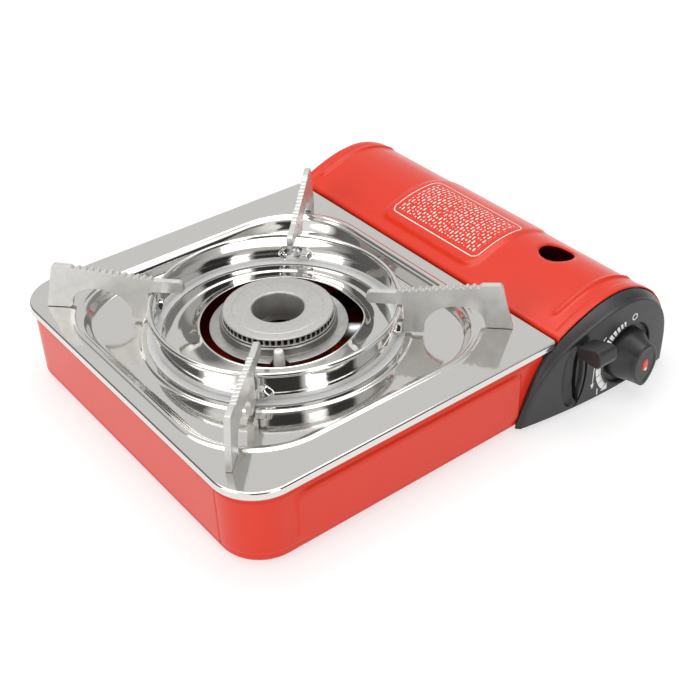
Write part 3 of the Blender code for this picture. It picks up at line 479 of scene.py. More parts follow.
def ring_loop(radius):
    """Circle whose points match the rectangle outlines'."""
    return radius * np.stack([np.cos(LOOP_TURN), np.sin(LOOP_TURN)], -1)


def mouth_loop(extra):
    """Burner opening: a circle eased out towards the gas feed by a bell curve."""
    off = (LOOP_TURN + 0.5864 + math.pi) % (2.0 * math.pi) - math.pi
    radius = 51.5 + extra + 4.0 * np.exp(-(off / 0.33) ** 2)
    return np.array(BURNER) + radius[:, None] * np.stack([np.cos(LOOP_TURN),
                                                          np.sin(LOOP_TURN)], -1)


def rim_loop(inset):
    """Outline of the steel top, drawn in."""
    return top_loop(-119.5 + inset, 119.6 - inset, -137.5 + inset, 137.5 - inset,
                    30.0 - inset, max(3.0 - inset, 0.4))


def recess_loop(inset):
    """Outline of the recess, drawn in."""
    return top_loop(-106.0 + inset, 104.5 - inset, -109.5 + inset, 109.5 - inset,
                    54.0 - 0.8 * inset, 54.0 - 0.8 * inset)


top_rows = [(rim_loop(0.5), -5.3), (rim_loop(0.0), -5.1), (rim_loop(-0.25), -4.6),
            (rim_loop(-0.1), -4.0), (rim_loop(0.0), -3.2), (rim_loop(0.0), -1.3)]
top_rows += [(rim_loop(1.4 - 1.4 * math.cos(a)), -1.3 + 1.3 * math.sin(a))
             for a in np.radians((20.0, 40.0, 60.0, 78.0, 90.0))]
top_rows += [(rim_loop(2.6), 0.0), (rim_loop(4.5), 0.0)]
for inset in np.linspace(-7.0, 0.6, 15):
    top_rows.append((recess_loop(inset), 0.8 * math.exp(-((inset + 3.0) / 1.6) ** 2)
                     - 1.0 * float(ease((inset + 1.4) / 2.0))))
for share in np.linspace(0.0, 1.0, 15)[1:]:
    top_rows.append((recess_loop(0.6 + 6.4 * share),
                     -1.0 - 7.6 * float(ease(share * 0.96 + 0.02))))
recess_floor = recess_loop(7.0)
for share in (0.12, 0.3, 0.5, 0.7, 0.88):
    top_rows.append((recess_floor * (1.0 - share) + ring_loop(91.0) * share, -8.6))
for radius, z in ((90.4, -8.6), (89.8, -8.5), (89.2, -8.2), (88.6, -7.9), (88.0, -7.65),
                  (87.2, -7.6), (80.0, -7.6), (73.0, -7.6), (69.2, -7.6), (68.4, -7.7),
                  (67.6, -8.0), (66.8, -8.3), (66.0, -8.4), (64.8, -8.35)):
    top_rows.append((ring_loop(radius), z))
for share in np.linspace(0.0, 1.0, 14):
    blend = (1.0 - share) ** 1.6
    top_rows.append((ring_loop(63.8) * blend + mouth_loop(1.2) * (1.0 - blend),
                     -8.3 + 5.25 * float(ease(share))))
top_rows += [(mouth_loop(0.8), -2.92), (mouth_loop(0.3), -2.9), (mouth_loop(0.0), -3.1),
             (mouth_loop(0.0), -3.5)]
top_grid = np.array([np.column_stack([loop, np.full(LOOP_COUNT, z)]) for loop, z in top_rows])
steel_top = wall(skin("steel_top", top_grid, around=True), 0.7)
stainless = finish("stainless_steel", (0.72, 0.705, 0.68), 0.13, 1.0)
mottle(stainless, (0.71, 0.695, 0.665), (0.74, 0.725, 0.70), 14.0, 0.0, 1.0)
uneven(stainless, 0.06, 0.1, 24.0)
relief(stainless, 26.0, 0.03, 0.5, 1.0)
steel_top.data.materials.append(stainless)
fitted(steel_top, "base", "stainless_steel", "top_panel")

# ---------------------------------------------------------------- inner sheet metal
# Plated shield, valve bracket, cartridge rails, spring leaf and warming strip, and
# the red end plate: flat and folded sheet with its punched edges just broken.


def break_edges(piece, width, segments, angle):
    """Small bevel, its width in millimetres, along edges sharper than the angle."""
    broken = piece.modifiers.new("edges", "BEVEL")
    broken.width = width * 0.001
    broken.segments = segments
    broken.limit_method = "ANGLE"
    broken.angle_limit = math.radians(angle)
    broken.harden_normals = True


def refined(name, node, body, slot, material, edge=0.15, angle=38.0):
    """Copy of a CAD solid with its seams merged and its edges broken by a small bevel."""
    mesh = cad_nodes[node].data.copy()
    mesh.name = name
    mesh.materials.clear()
    joined = bmesh.new()
    joined.from_mesh(mesh)
    bmesh.ops.remove_doubles(joined, verts=joined.verts, dist=1e-6)
    bmesh.ops.dissolve_limit(joined, angle_limit=0.01, verts=joined.verts, edges=joined.edges)
    joined.to_mesh(mesh)
    joined.free()
    made = bpy.data.objects.new(name, mesh)
    bpy.context.scene.collection.objects.link(made)
    for attribute in ("sharp_edge", "sharp_face", "custom_normal"):
        if attribute in mesh.attributes:
            mesh.attributes.remove(mesh.attributes[attribute])
    crisp(made, angle)
    if edge > 0.0:
        break_edges(made, edge, 2, 40.0)
    made.data.materials.append(material)
    return fitted(made, body, slot, node)


zinc = finish("zinc_plated_steel", (0.55, 0.55, 0.57), 0.36, 1.0)
mottle(zinc, (0.48, 0.49, 0.52), (0.60, 0.60, 0.60), 70.0)
uneven(zinc, 0.28, 0.46, 60.0)
relief(zinc, 700.0, 0.01)
cast = finish("cast_aluminium", (0.44, 0.43, 0.41), 0.5, 1.0)
mottle(cast, (0.41, 0.40, 0.38), (0.48, 0.47, 0.45), 260.0)
uneven(cast, 0.3, 0.42, 220.0)
relief(cast, 1300.0, 0.03, 0.7, 4.0)
refined("end_plate", "rear_arch_plate", "base", "red_enamel", red_enamel)
for node in ("heat_shield", "front_bracket", "bay_rail_left", "bay_rail_right",
             "cartridge_spring", "burner_stand"):
    refined(node + "_sheet", node, "base", "zinc_plated_steel", zinc)
refined("warming_strip", "heat_strip", "base", "cast_aluminium", cast)

# ---------------------------------------------------------------- gas feed
# Cast valve block with its brass port, brass pipe, brass nozzle and the pressed
# mixing tube that leads gas and air into the burner's bowl.
brass = finish("brass", (0.70, 0.48, 0.18), 0.3, 1.0)
mottle(brass, (0.62, 0.40, 0.14), (0.76, 0.54, 0.24), 120.0)
uneven(brass, 0.22, 0.38, 150.0)
relief(brass, 3000.0, 0.004)
FEED = math.radians(-33.6)
LYING = (0.0, math.pi / 2.0, FEED)
FRONTWARD = (math.pi / 2.0, 0.0, 0.0)


def on_feed(distance):
    """Point on the gas feed line, that far out from the burner's middle."""
    return (BURNER[0] + distance * math.cos(FEED), BURNER[1] + distance * math.sin(FEED), -18.0)


mixing = turned("mixing_pipe", [(8.3, 40.0), (8.3, 38.8), (7.5, 33.0), (6.6, 20.0), (7.5, 0.0),
                                (7.5, -38.5), (6.7, -38.5), (6.7, 0.0), (5.8, 20.0),
                                (6.7, 33.0), (7.6, 40.0)], on_feed(77.3), LYING)
mixing.data.materials.append(zinc)
fitted(mixing, "base", "zinc_plated_steel", "mixing_tube")
jet = turned("gas_jet", [(0.0, 8.0), (3.4, 8.0), (4.6, 6.8), (4.6, 1.2), (3.0, 0.6), (3.0, -3.0),
                         (1.4, -5.0), (0.0, -5.0)], on_feed(125.0), LYING, closed=False,
             reach=0.25, steps=48)
jet.data.materials.append(brass)
fitted(jet, "base", "brass", "nozzle")
port = turned("cartridge_port", [(0.0, 0.0), (9.5, 0.0), (9.5, -3.5), (6.5, -4.2), (6.5, -7.0),
                                 (3.0, -7.6), (2.0, -6.6), (0.0, -6.6)], (178.0, -112.0, -20.5),
              FRONTWARD, closed=False, reach=0.25)
port.data.materials.append(brass)
fitted(port, "base", "brass", "valve_port")
refined("valve_block", "valve_body", "base", "cast_aluminium", cast, 0.4)
refined("feed_pipe", "gas_pipe", "base", "brass", brass, 0.0, 50.0)

# ---------------------------------------------------------------- burner
# Cast bowl with a flat flange, and a loose cast cap over it: a dished disc, bored in
# the middle, whose skirt is slotted all round to make the ring of flame ports.
SPARK_OUT = 42.6
SPARK_TURN = math.radians(-125.0)
NOTCH_TURN = math.radians(235.0)


def notch_cut(r, z, a):
    """Flange radius let in by 6.9 mm at the electrode, easing out by the fourth power over 5 mm."""
    away = np.clip(np.abs((a - NOTCH_TURN) * SPARK_OUT) / 5.0, 0.0, 1.0)
    return np.where((r > 40.0) & (z > -7.0), np.minimum(r, 38.6 + 6.9 * away ** 4), r), z


bowl = turned("burner_bowl_casting",
              [(37.6, 1.2), (38.4, 0.4), (38.4, -4.8), (45.5, -4.8), (45.5, -6.0), (38.4, -6.0),
               (36.5, -20.0), (33.0, -27.2), (12.5, -27.2), (12.5, -18.0), (14.5, -18.0),
               (14.5, -25.2), (32.0, -25.2), (34.6, -19.5), (36.0, -6.0), (36.0, 0.6)],
              (*BURNER, 0.0), steps=160, shape=notch_cut)
bowl.data.materials.append(cast)
fitted(bowl, "base", "cast_aluminium", "burner_bowl")
PORTS = 58


def port_cut(r, z, a):
    """Skirt radius stepped in by 3.4 mm wherever a port comes, from 2.3 to 5.7 mm up."""
    phase = np.abs((a * PORTS / (2.0 * math.pi)) % 1.0 - 0.5)
    open_here = ease((phase - 0.2) / 0.07) * (r > 34.6) * (z < 5.72) * (z > 2.28)
    return r - 3.4 * open_here, z


cap_profile = [(36.0, 5.75), (36.4, 5.9), (36.5, 6.4), (35.6, 7.0), (30.1, 7.0), (29.6, 7.2),
               (18.2, 7.2), (17.5, 7.0), (17.1, 6.5), (16.9, 5.0), (16.5, -2.0), (16.3, -10.0),
               (17.1, -10.0), (17.4, -2.0), (19.0, 2.6), (32.2, 2.6), (32.2, 1.0),
               (35.6, 1.0), (35.7, 1.5), (36.8, 1.55), (37.0, 1.75), (36.8, 2.05), (36.0, 2.3),
               (36.0, 4.0), (36.0, 5.4)]
cap = turned("burner_cap_casting", cap_profile, (*BURNER, 0.0), steps=PORTS * 12, reach=0.14,
             shape=port_cut)
cap_cast = finish("cap_casting", (0.52, 0.51, 0.49), 0.48, 0.85)
mottle(cap_cast, (0.49, 0.48, 0.46), (0.55, 0.54, 0.52), 500.0, 0.3, 0.7)
uneven(cap_cast, 0.44, 0.54, 260.0)
relief(cap_cast, 1700.0, 0.05, 0.8, 5.0)
cap.data.materials.append(cap_cast)
# Painted shade: a near-black finish laid inside the port slots, standing in for the shadow deep in
# each port.
port_shade_paint = finish("painted_port_shade", (0.02, 0.018, 0.016), 0.9)
mottle(port_shade_paint, (0.016, 0.014, 0.012), (0.03, 0.026, 0.022), 600.0)
relief(port_shade_paint, 1500.0, 0.02)
cap.data.materials.append(port_shade_paint)
cap_middles = np.empty(len(cap.data.polygons) * 3)
cap.data.polygons.foreach_get("center", cap_middles)
cap_middles = cap_middles.reshape(-1, 3) * 1000.0 - TOP_MIDDLE - (*BURNER, 0.0)
cap_reach = np.hypot(cap_middles[:, 0], cap_middles[:, 1])
# Faces inside the slots take the painted shade, which darkens the recesses.
shaded_ports = ((cap_reach > 30.0) & (cap_reach < 35.4) & (cap_middles[:, 2] > 1.5)
         & (cap_middles[:, 2] < 5.9))
cap.data.polygons.foreach_set("material_index", shaded_ports.astype(np.int32))
fitted(cap, "base", "cast_aluminium", "burner_cap")

# ---------------------------------------------------------------- igniter
# Glazed ceramic electrode, its steel point given the same ceramic finish, clipped under
# the flange by a riveted bracket, fed by an insulated lead from the spark unit beside the valve.
ceramic = finish("white_ceramic", (0.86, 0.85, 0.81), 0.22, Coat_Weight=0.5,
                 Coat_Roughness=0.06)
mottle(ceramic, (0.82, 0.80, 0.76), (0.90, 0.89, 0.86), 240.0)
relief(ceramic, 900.0, 0.01)
spark_x = BURNER[0] + SPARK_OUT * math.cos(SPARK_TURN)
spark_y = BURNER[1] + SPARK_OUT * math.sin(SPARK_TURN)
electrode = turned("spark_electrode",
                   [(0.0, 4.8), (0.5, 4.6), (0.7, 3.4), (2.6, 3.2), (3.1, 2.4), (3.4, -3.0),
                    (3.7, -6.0), (3.8, -7.0), (3.8, -11.0), (3.1, -11.5), (3.1, -15.5),
                    (0.9, -15.8), (0.9, -19.0), (0.0, -19.0)], (spark_x, spark_y, 0.0),
                   closed=False, reach=0.3, steps=48)
CLIP_OUT = 46.0
CLIP_TURN = math.radians(-110.0)
electrode.data.materials.append(ceramic)
fitted(electrode, "base", "white_ceramic", "electrode")
refined("electrode_clip", "electrode_bracket", "base", "zinc_plated_steel", zinc)
clip_rivet = turned("clip_rivet", [(0.0, -9.4), (1.4, -9.6), (2.4, -10.0), (3.1, -10.8),
                                   (3.1, -11.4), (1.6, -11.4), (1.6, -14.6), (2.8, -14.6),
                                   (2.8, -15.6), (0.0, -15.6)],
                    (BURNER[0] + CLIP_OUT * math.cos(CLIP_TURN),
                     BURNER[1] + CLIP_OUT * math.sin(CLIP_TURN), 0.0), closed=False,
                    reach=0.3, steps=48)
clip_rivet.data.materials.append(brass)
fitted(clip_rivet, "base", "brass", "bracket_rivet")
lead_skin = finish("silicone_lead", (0.65, 0.63, 0.60), 0.55)
mottle(lead_skin, (0.60, 0.58, 0.55), (0.70, 0.68, 0.65), 90.0)
relief(lead_skin, 1200.0, 0.02)
refined("spark_lead", "ignition_lead", "base", "silicone_lead", lead_skin, 0.0, 60.0)

# ---------------------------------------------------------------- moulded black plastic
# Satin black mouldings share one finish: fine spark-eroded texture, faintly uneven
# sheen. The spark unit and the spindle's cam behind the cover are the same plastic.
KNOB_X, KNOB_Z = 177.5, -30.4
black = finish("black_plastic", (0.022, 0.022, 0.023), 0.36, Specular_IOR_Level=0.5)
mottle(black, (0.019, 0.019, 0.020), (0.025, 0.025, 0.026), 60.0)
uneven(black, 0.32, 0.42, 90.0)
relief(black, 2400.0, 0.015, 0.6, 3.0)
refined("spark_unit", "piezo_unit", "base", "black_plastic", black, 0.3)
refined("spindle_cam", "knob_cam", "knob", "black_plastic", black, 0.2)
refined("plunger_tip", "piezo_plunger", "plunger", "white_ceramic", ceramic, 0.1)
spindle = turned("knob_spindle", [(0.0, 18.75), (2.9, 18.75), (2.9, -18.75), (0.0, -18.75)],
                 (KNOB_X, -138.6, KNOB_Z), FRONTWARD, closed=False, steps=48)
spindle.data.materials.append(zinc)
fitted(spindle, "knob", "zinc_plated_steel", "spindle")

# ---------------------------------------------------------------- control cover
# Injection-moulded end cover: an arched side that sweeps forward to a crisp edge and
# a gently bowed face, sunk round the knob and hollowed as a lens beside the lever.


def fair(points, count):
    """Smooth line through points: each span a cubic whose end slopes are its neighbours' chords."""
    p = np.asarray(points, float)
    m = np.gradient(p, axis=0)
    t = np.linspace(0.0, len(p) - 1.0, count)
    i = np.clip(t.astype(int), 0, len(p) - 2)
    u = (t - i)[:, None]
    return ((2 * u ** 3 - 3 * u ** 2 + 1) * p[i] + (u ** 3 - 2 * u ** 2 + u) * m[i]
            + (3 * u ** 2 - 2 * u ** 3) * p[i + 1] + (u ** 3 - u ** 2) * m[i + 1])


cover_rear = [(87.8, -54.8), (89.3, -49.0), (91.6, -43.0), (94.5, -36.0), (98.0, -27.5),
              (102.0, -19.5), (107.5, -11.5), (114.0, -4.5), (121.0, 0.4), (127.0, 3.3),
              (134.3, 6.4), (140.0, 8.5), (148.0, 11.1), (156.4, 13.2), (164.0, 14.2),
              (171.0, 14.6), (178.0, 14.1), (185.5, 12.5), (193.0, 9.7), (200.5, 5.8),
              (207.0, 1.0), (213.0, -5.0), (218.2, -12.0), (222.0, -20.0), (224.4, -28.0),
              (225.2, -36.0), (225.2, -44.0), (225.2, -54.8)]
cover_front = [(88.8, -54.8), (90.4, -49.0), (92.2, -43.0), (94.6, -36.0), (98.4, -28.0),
               (103.0, -20.8), (109.0, -13.4), (116.0, -7.2), (123.0, -2.8), (129.5, 0.4),
               (136.5, 3.2), (142.5, 5.4), (149.5, 7.8), (157.0, 9.8), (164.0, 11.0),
               (171.0, 11.3), (178.0, 10.8), (184.5, 9.3), (191.0, 6.8), (197.5, 3.3),
               (203.2, -1.2), (208.4, -7.0), (212.8, -13.8), (215.8, -21.2), (217.3, -29.0),
               (217.8, -36.5), (217.8, -44.0), (217.4, -54.8)]


def cover_loop(side):
    """Cover outline closed along its flat bottom, running so that its skin faces out."""
    line = fair(side, 170)
    share = np.linspace(0.0, 1.0, 44)[1:-1, None]
    return np.concatenate([line, line[-1] * (1.0 - share) + line[0] * share])[::-1]


def face_at(x):
    """Depth of the cover's face at x, bowed by the square of the distance from its crown."""
    return -148.0 + (x - 175.0) ** 2 / 900.0


def carve(piece, *cutters):
    """Take the cutters out of a piece for good, and remove them."""
    for cutter in cutters:
        cutting = piece.modifiers.new("carve", "BOOLEAN")
        cutting.operation = "DIFFERENCE"
        cutting.solver = "EXACT"
        cutting.object = cutter
        bpy.context.view_layer.update()
        carved = bpy.data.meshes.new_from_object(
            piece.evaluated_get(bpy.context.evaluated_depsgraph_get()))
        piece.modifiers.clear()
        piece.data = carved
        bpy.data.objects.remove(cutter)
    clean = bmesh.new()
    clean.from_mesh(piece.data)
    bmesh.ops.remove_doubles(clean, verts=clean.verts, dist=5e-6)
    bmesh.ops.dissolve_degenerate(clean, edges=clean.edges, dist=2e-6)
    clean.to_mesh(piece.data)
    clean.free()
    return piece


def slab(name, outline, low, high, along="y"):
    """Flat outline carried straight from low to high along an axis, ends closed."""
    p = np.asarray(outline, float)
    area = np.sum(p[:, 0] * np.roll(p[:, 1], -1) - np.roll(p[:, 0], -1) * p[:, 1])
    if (area < 0.0) == (along != "y"):
        p = p[::-1]
    grid = np.empty((2, len(p), 3))
    order = {"x": (1, 2, 0), "y": (0, 2, 1)}[along]
    for k, level in enumerate((low, high)):
        grid[k][:, order[0]] = p[:, 0]
        grid[k][:, order[1]] = p[:, 1]
        grid[k][:, order[2]] = level
    return skin(name, grid, around=True, first_cap=True, last_cap=True)


rear_loop, front_loop = cover_loop(cover_rear), cover_loop(cover_front)
hub = np.array([160.0, -26.0])
cover_rows = []
for t in np.concatenate([[0.0], np.linspace(0.04, 1.0, 12)]):
    loop = rear_loop * (1.0 - t) + front_loop * t
    loop = hub + (loop - hub) * (1.0 + 0.008 * math.sin(math.pi * t) * (t > 0.0))
    y = -135.7 * (1.0 - t) + (face_at(front_loop[:, 0]) + 1.6) * t
    cover_rows.append(np.column_stack([loop[:, 0], y, loop[:, 1]]))
for a in np.radians((22.0, 45.0, 68.0, 90.0)):
    loop = hub + (front_loop - hub) * (1.0 - 0.022 * (1.0 - math.cos(a)))
    cover_rows.append(np.column_stack([loop[:, 0], face_at(front_loop[:, 0]) + 1.6
                                       - 1.6 * math.sin(a), loop[:, 1]]))
for share in np.linspace(0.965, 0.03, 26):
    loop = hub + (front_loop - hub) * share
    cover_rows.append(np.column_stack([loop[:, 0], face_at(loop[:, 0]), loop[:, 1]]))
cover = skin("control_cover", np.array(cover_rows), around=True, first_cap=True, last_cap=True)
LENS_X, LENS_Z = 127.8, -27.6
lens_t = np.linspace(0.0, 1.0, 40, endpoint=False)
lens = np.concatenate([np.column_stack([LENS_X + 8.2 * np.sin(math.pi * lens_t),
                                        LENS_Z + 24.5 * np.cos(math.pi * lens_t)]),
                       np.column_stack([LENS_X - 9.2 * np.sin(math.pi * lens_t),
                                        LENS_Z - 24.5 * np.cos(math.pi * lens_t)])])
lens_middle = np.array([LENS_X, LENS_Z])
groove_t = np.linspace(0.1, 0.95, 40)
groove_one = np.column_stack([LENS_X + 10.1 * np.sin(math.pi * groove_t),
                              LENS_Z + 26.5 * np.cos(math.pi * groove_t)])
groove_two = groove_one[::-1] + (1.9, 0.0)
groove_cutter = slab("groove_cutter", np.concatenate([groove_one, groove_two]), -160.0, -144.3)
lens_rows = []
for y, grow in ((-156.0, 1.09), (-146.9, 1.05), (-145.6, 1.0), (-143.4, 0.94), (-141.6, 0.6)):
    loop = lens_middle + (lens - lens_middle) * grow
    lens_rows.append(np.column_stack([loop[:, 0], np.full(len(loop), y), loop[:, 1]]))
lens_cutter = skin("lens_cutter", np.array(lens_rows), around=True, first_cap=True,
                   last_cap=True)
dish_cutter = turned("dish_cutter", [(0.0, 12.0), (22.9, 12.0), (22.9, 3.6), (22.0, 2.6),
                                     (22.0, 0.8), (21.2, 0.0), (0.0, 0.0)],
                     (KNOB_X, -144.2, KNOB_Z), FRONTWARD, closed=False, reach=0.2, steps=128)
hole_cutter = turned("hole_cutter", [(0.0, 20.0), (3.6, 20.0), (3.6, -20.0), (0.0, -20.0)],
                     (KNOB_X, -146.0, KNOB_Z), FRONTWARD, closed=False, steps=40)
slot_cutter = slab("slot_cutter", [(131.9, -50.0), (134.1, -50.0), (134.1, -2.5),
                                   (131.9, -2.5)], -161.0, -131.0)
step_cutter = slab("step_cutter", [(80.0, -6.2), (121.0, -6.2), (121.0, -60.0), (240.0, -60.0),
                                   (240.0, 30.0), (80.0, 30.0)], -137.9, -128.0)
carve(cover, step_cutter, dish_cutter, lens_cutter, groove_cutter, hole_cutter, slot_cutter)
crisp(cover, 30.0)
cover.data.materials.clear()
cover.data.materials.append(black)
fitted(cover, "base", "black_plastic", "control_panel")

# ---------------------------------------------------------------- dial marks
# White pad-printed marks round the knob: growing blocks, a segmented sweep with an
# arrowhead, a plain ring and bar for closed and open, and the lever's own arrow.
print_white = finish("print_white", (0.82, 0.82, 0.80), 0.5)
mottle(print_white, (0.74, 0.74, 0.72), (0.86, 0.86, 0.84), 500.0)
relief(print_white, 1500.0, 0.004)
mark_points = []
mark_faces = []


def add_mark(x, z):
    """Grid of face points, x to the right and z up, laid just over the cover's face."""
    grid = np.stack([x, face_at(x) - 0.07, z], -1)
    first = sum(len(p) for p in mark_points)
    mark_points.append(grid.reshape(-1, 3))
    mark_faces.extend((grid_faces(*x.shape) + first).tolist())


def sweep_mark(inner, outer, start, end, centre=(KNOB_X, KNOB_Z), count=9):
    """Part of a flat ring about the centre, its angles in degrees."""
    a = np.radians(np.linspace(start, end, count))[None, :]
    r = np.array([outer, inner])[:, None]
    add_mark(centre[0] + r * np.cos(a), centre[1] + r * np.sin(a))


def quad_mark(a, b, c, d):
    """Four-cornered mark, its corners in turn anticlockwise."""
    x = np.array([[a[0], b[0]], [d[0], c[0]]])
    z = np.array([[a[1], b[1]], [d[1], c[1]]])
    add_mark(x, z)


for index, start in enumerate((101.5, 107.5, 114.0, 121.0, 128.5, 136.5)):
    sweep_mark(24.6 - 0.14 * index, 28.6 + 0.16 * index, start, start + 3.4 + 0.55 * index)
for start, end in ((168.0, 180.0), (181.2, 193.0), (194.2, 206.5), (207.7, 221.0)):
    sweep_mark(24.9, 29.4, start, end, count=12)
head, point = np.radians((221.8, 231.0))
quad_mark(*((KNOB_X + reach * math.cos(a), KNOB_Z + reach * math.sin(a))
            for reach, a in ((23.4, head), (27.1, point), (27.3, point), (31.0, head))))
sweep_mark(1.7, 2.6, 0.0, 359.9, (180.4, -2.6), 40)
quad_mark((151.0, -55.6 + 3.0), (152.0, -55.6 + 3.0), (152.0, -47.4), (151.0, -47.4))
quad_mark((145.9, -41.6), (146.6, -41.6), (147.0, -25.6), (146.3, -25.6))
quad_mark((144.6, -41.4), (146.2, -45.4), (146.4, -45.4), (147.9, -41.4))
quad_mark((149.6, -12.4), (154.8, -8.0), (154.3, -7.0), (149.0, -11.4))
marks = link_mesh("dial_marks", row(np.concatenate(mark_points)), mark_faces)
wall(marks, 0.12, -1.0)
marks.data.materials.append(print_white)
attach(marks, "base")

# ---------------------------------------------------------------- knob
# Moulded knob on a steel spindle: a round skirt easing forward into a narrow oval grip
# that points down, a slightly sunk face and a red inlay with a white dot.
around_knob = np.radians(np.linspace(0.0, 360.0, 200, endpoint=False))


def knob_section(half, top, foot, nose, y):
    """Oval section: one reach above the axis and one below, pinched below by its sine squared."""
    down = np.clip(-np.sin(around_knob), 0.0, 1.0)
    reach = np.where(np.sin(around_knob) > 0.0, top, foot)
    return np.stack([half * np.cos(around_knob) * (1.0 - nose * down ** 2),
                     np.full(len(around_knob), y), reach * np.sin(around_knob)], -1)


knob_table = fair([(18.0, 18.0, 18.0, 0.0, 19.6), (18.1, 18.1, 18.1, 0.0, 18.4),
                   (17.9, 18.0, 18.1, 0.0, 16.4), (17.0, 17.7, 18.1, 0.05, 13.8),
                   (15.2, 17.0, 18.2, 0.12, 11.2), (13.2, 16.2, 18.2, 0.2, 8.4),
                   (11.9, 15.3, 18.1, 0.26, 5.0), (11.2, 14.6, 17.9, 0.3, 1.5)], 44)
knob_rows = [knob_section(*values) for values in knob_table]
for a in np.radians((25.0, 50.0, 75.0, 90.0)):
    lost = 1.2 * (1.0 - math.cos(a))
    knob_rows.append(knob_section(11.2 - lost, 14.6 - lost, 17.9 - lost, 0.3,
                                  1.5 - 1.5 * math.sin(a)))
for share in (0.95, 0.9, 0.86, 0.82, 0.7, 0.55, 0.4, 0.2, 0.02):
    sunk = 0.6 * float(ease((0.9 - share) / 0.08))
    knob_rows.append(knob_section(10.0 * share, 13.4 * share, 16.7 * share, 0.3, sunk))
knob_grid = np.array([np.column_stack([r[:, 0] + KNOB_X, r[:, 1] - 164.0, r[:, 2] + KNOB_Z])
                      for r in knob_rows])
knob = skin("control_knob", knob_grid, around=True, first_cap=True, last_cap=True)
crisp(knob, 32.0)
knob.data.materials.append(black)
fitted(knob, "knob", "black_plastic", "knob")
signal_red = finish("signal_red", (0.80, 0.04, 0.03), 0.3, Coat_Weight=0.3)
mottle(signal_red, (0.74, 0.035, 0.028), (0.84, 0.05, 0.036), 400.0)
relief(signal_red, 1500.0, 0.006)
inlay = turned("knob_inlay", [(0.0, 1.3), (2.0, 1.25), (2.8, 0.7), (3.0, 0.0), (3.0, -0.6),
                              (0.0, -0.6)], (KNOB_X, -163.0, KNOB_Z - 1.0), FRONTWARD, closed=False,
               reach=0.3, steps=64, shape=lambda r, z, a: (r * (0.8 + 0.75 * np.sin(a) ** 2), z))
inlay.data.materials.append(signal_red)
fitted(inlay, "knob", "signal_red", "knob_mark")
dot = turned("knob_dot", [(0.0, 1.5), (1.0, 1.45), (1.25, 1.2), (1.25, 0.6), (0.0, 0.6)],
             (KNOB_X, -163.0, KNOB_Z - 3.8), FRONTWARD, closed=False, reach=0.2, steps=40)
dot.data.materials.append(print_white)
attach(dot, "knob")

# ---------------------------------------------------------------- lock lever and clamp
# Moulded thumb tab on a plated arm. It turns on a pin riveted to the heat shield and
# draws the forked plate, which pulls the cartridge's collar on to the port.
LEVER_PIVOT = (133.0, -87.0, -27.0)
lever_swing = (Matrix.Translation(row(LEVER_PIVOT))
               @ Matrix.Rotation(math.radians(-19.0), 4, "X")
               @ Matrix.Translation(-Vector(row(LEVER_PIVOT))))
tab_line = [(-65.2, -3.6), (-65.2, 3.2), (-68.0, 4.4), (-76.0, 4.2), (-84.0, 3.6), (-85.6, 1.6),
            (-85.0, -5.4), (-82.0, -8.2), (-78.0, -8.2), (-70.0, -4.6)]
tab = slab("lever_tab", soften(np.array(tab_line) + LEVER_PIVOT[1:], 1.6, True, 6), 125.5, 140.5,
           "x")
tab.data.transform(lever_swing)
crisp(tab, 40.0)
break_edges(tab, 0.9, 3, 50.0)
tab.data.materials.append(black)
fitted(tab, "lever", "black_plastic", "lock_lever")
refined("lever_blade", "lever_arm", "lever", "zinc_plated_steel", zinc)
refined("lever_pivot", "lever_pin", "base", "zinc_plated_steel", zinc, 0.15)
refined("collar_clamp", "cartridge_clamp", "clamp", "zinc_plated_steel", zinc, 0.2)

# ---------------------------------------------------------------- lid
# Arched steel lid over the cartridge, red enamel like the case, curled round a steel
# rod along its right edge. Pressed ribs stiffen both ends, and a raised field sits
# between them beside a round vent.
lid_arch = [(121.4, -4.0), (121.35, -1.4), (121.9, 0.75), (127.0, 2.9), (134.3, 6.0),
            (140.0, 8.1), (148.0, 10.7), (156.4, 12.8), (164.0, 13.8), (171.0, 14.2),
            (178.0, 13.7), (185.5, 12.1), (193.0, 9.3), (200.5, 5.4), (207.0, 0.6),
            (213.0, -5.3), (218.2, -12.3), (222.0, -20.0), (224.4, -27.5)]
curl = np.radians(np.linspace(0.0, -235.0, 22))
lid_line = np.concatenate([fair(lid_arch, 150),
                           np.column_stack([223.2 + 2.35 * np.cos(curl),
                                            -35.5 + 2.35 * np.sin(curl)])])
lid_y = stations(-137.2, 137.5, 1.5, (-131.0, -121.0, 128.0), 3.5, 0.6)
along_lid = np.gradient(lid_line, axis=0)
along_lid /= np.linalg.norm(along_lid, axis=1, keepdims=True)
lid_out = np.column_stack([-along_lid[:, 1], along_lid[:, 0]])
lx, ly = lid_line[None, :, 0], lid_y[:, None]
VENT = np.array([178.8, -77.2])
VENT_REACH = 12.2
vent_away = np.hypot(lx - VENT[0], ly - VENT[1])
span = ease((lx - 131.0) / 5.0) * ease((206.0 - lx) / 6.0)
raised = 1.15 * rounded_field(lx, ly, (130.5, 206.0, -44.5, 53.0), 9.0, 4.2)
ribs = 1.5 * span * (np.exp(-((ly + 121.0) / 1.7) ** 2) + np.exp(-((ly - 127.0) / 1.7) ** 2))
ends = 0.55 * (ease((-131.0 - ly) / 1.6 + 0.5) + ease((ly - 132.5) / 1.6 + 0.5))
ends = ends * ease((lx - 124.0) / 4.0) * ease((215.0 - lx) / 6.0)
lip = -0.7 * np.exp(-((vent_away - VENT_REACH) / 1.6) ** 2)
push = (raised + ribs + ends + lip) * (lid_line[None, :, 1] > -31.0)
lid_grid = np.stack([lx + lid_out[None, :, 0] * push, ly + 0.0 * push,
                     lid_line[None, :, 1] + lid_out[None, :, 1] * push], -1)
flat_away = lid_grid[..., :2] - VENT
flat_far = np.maximum(np.hypot(flat_away[..., 0], flat_away[..., 1]), 1e-6)
near_edge = np.abs(vent_away - VENT_REACH) < 1.15
snapped = VENT + flat_away / flat_far[..., None] * VENT_REACH
top_side = (lid_line[None, :, 1] > 8.0) & near_edge
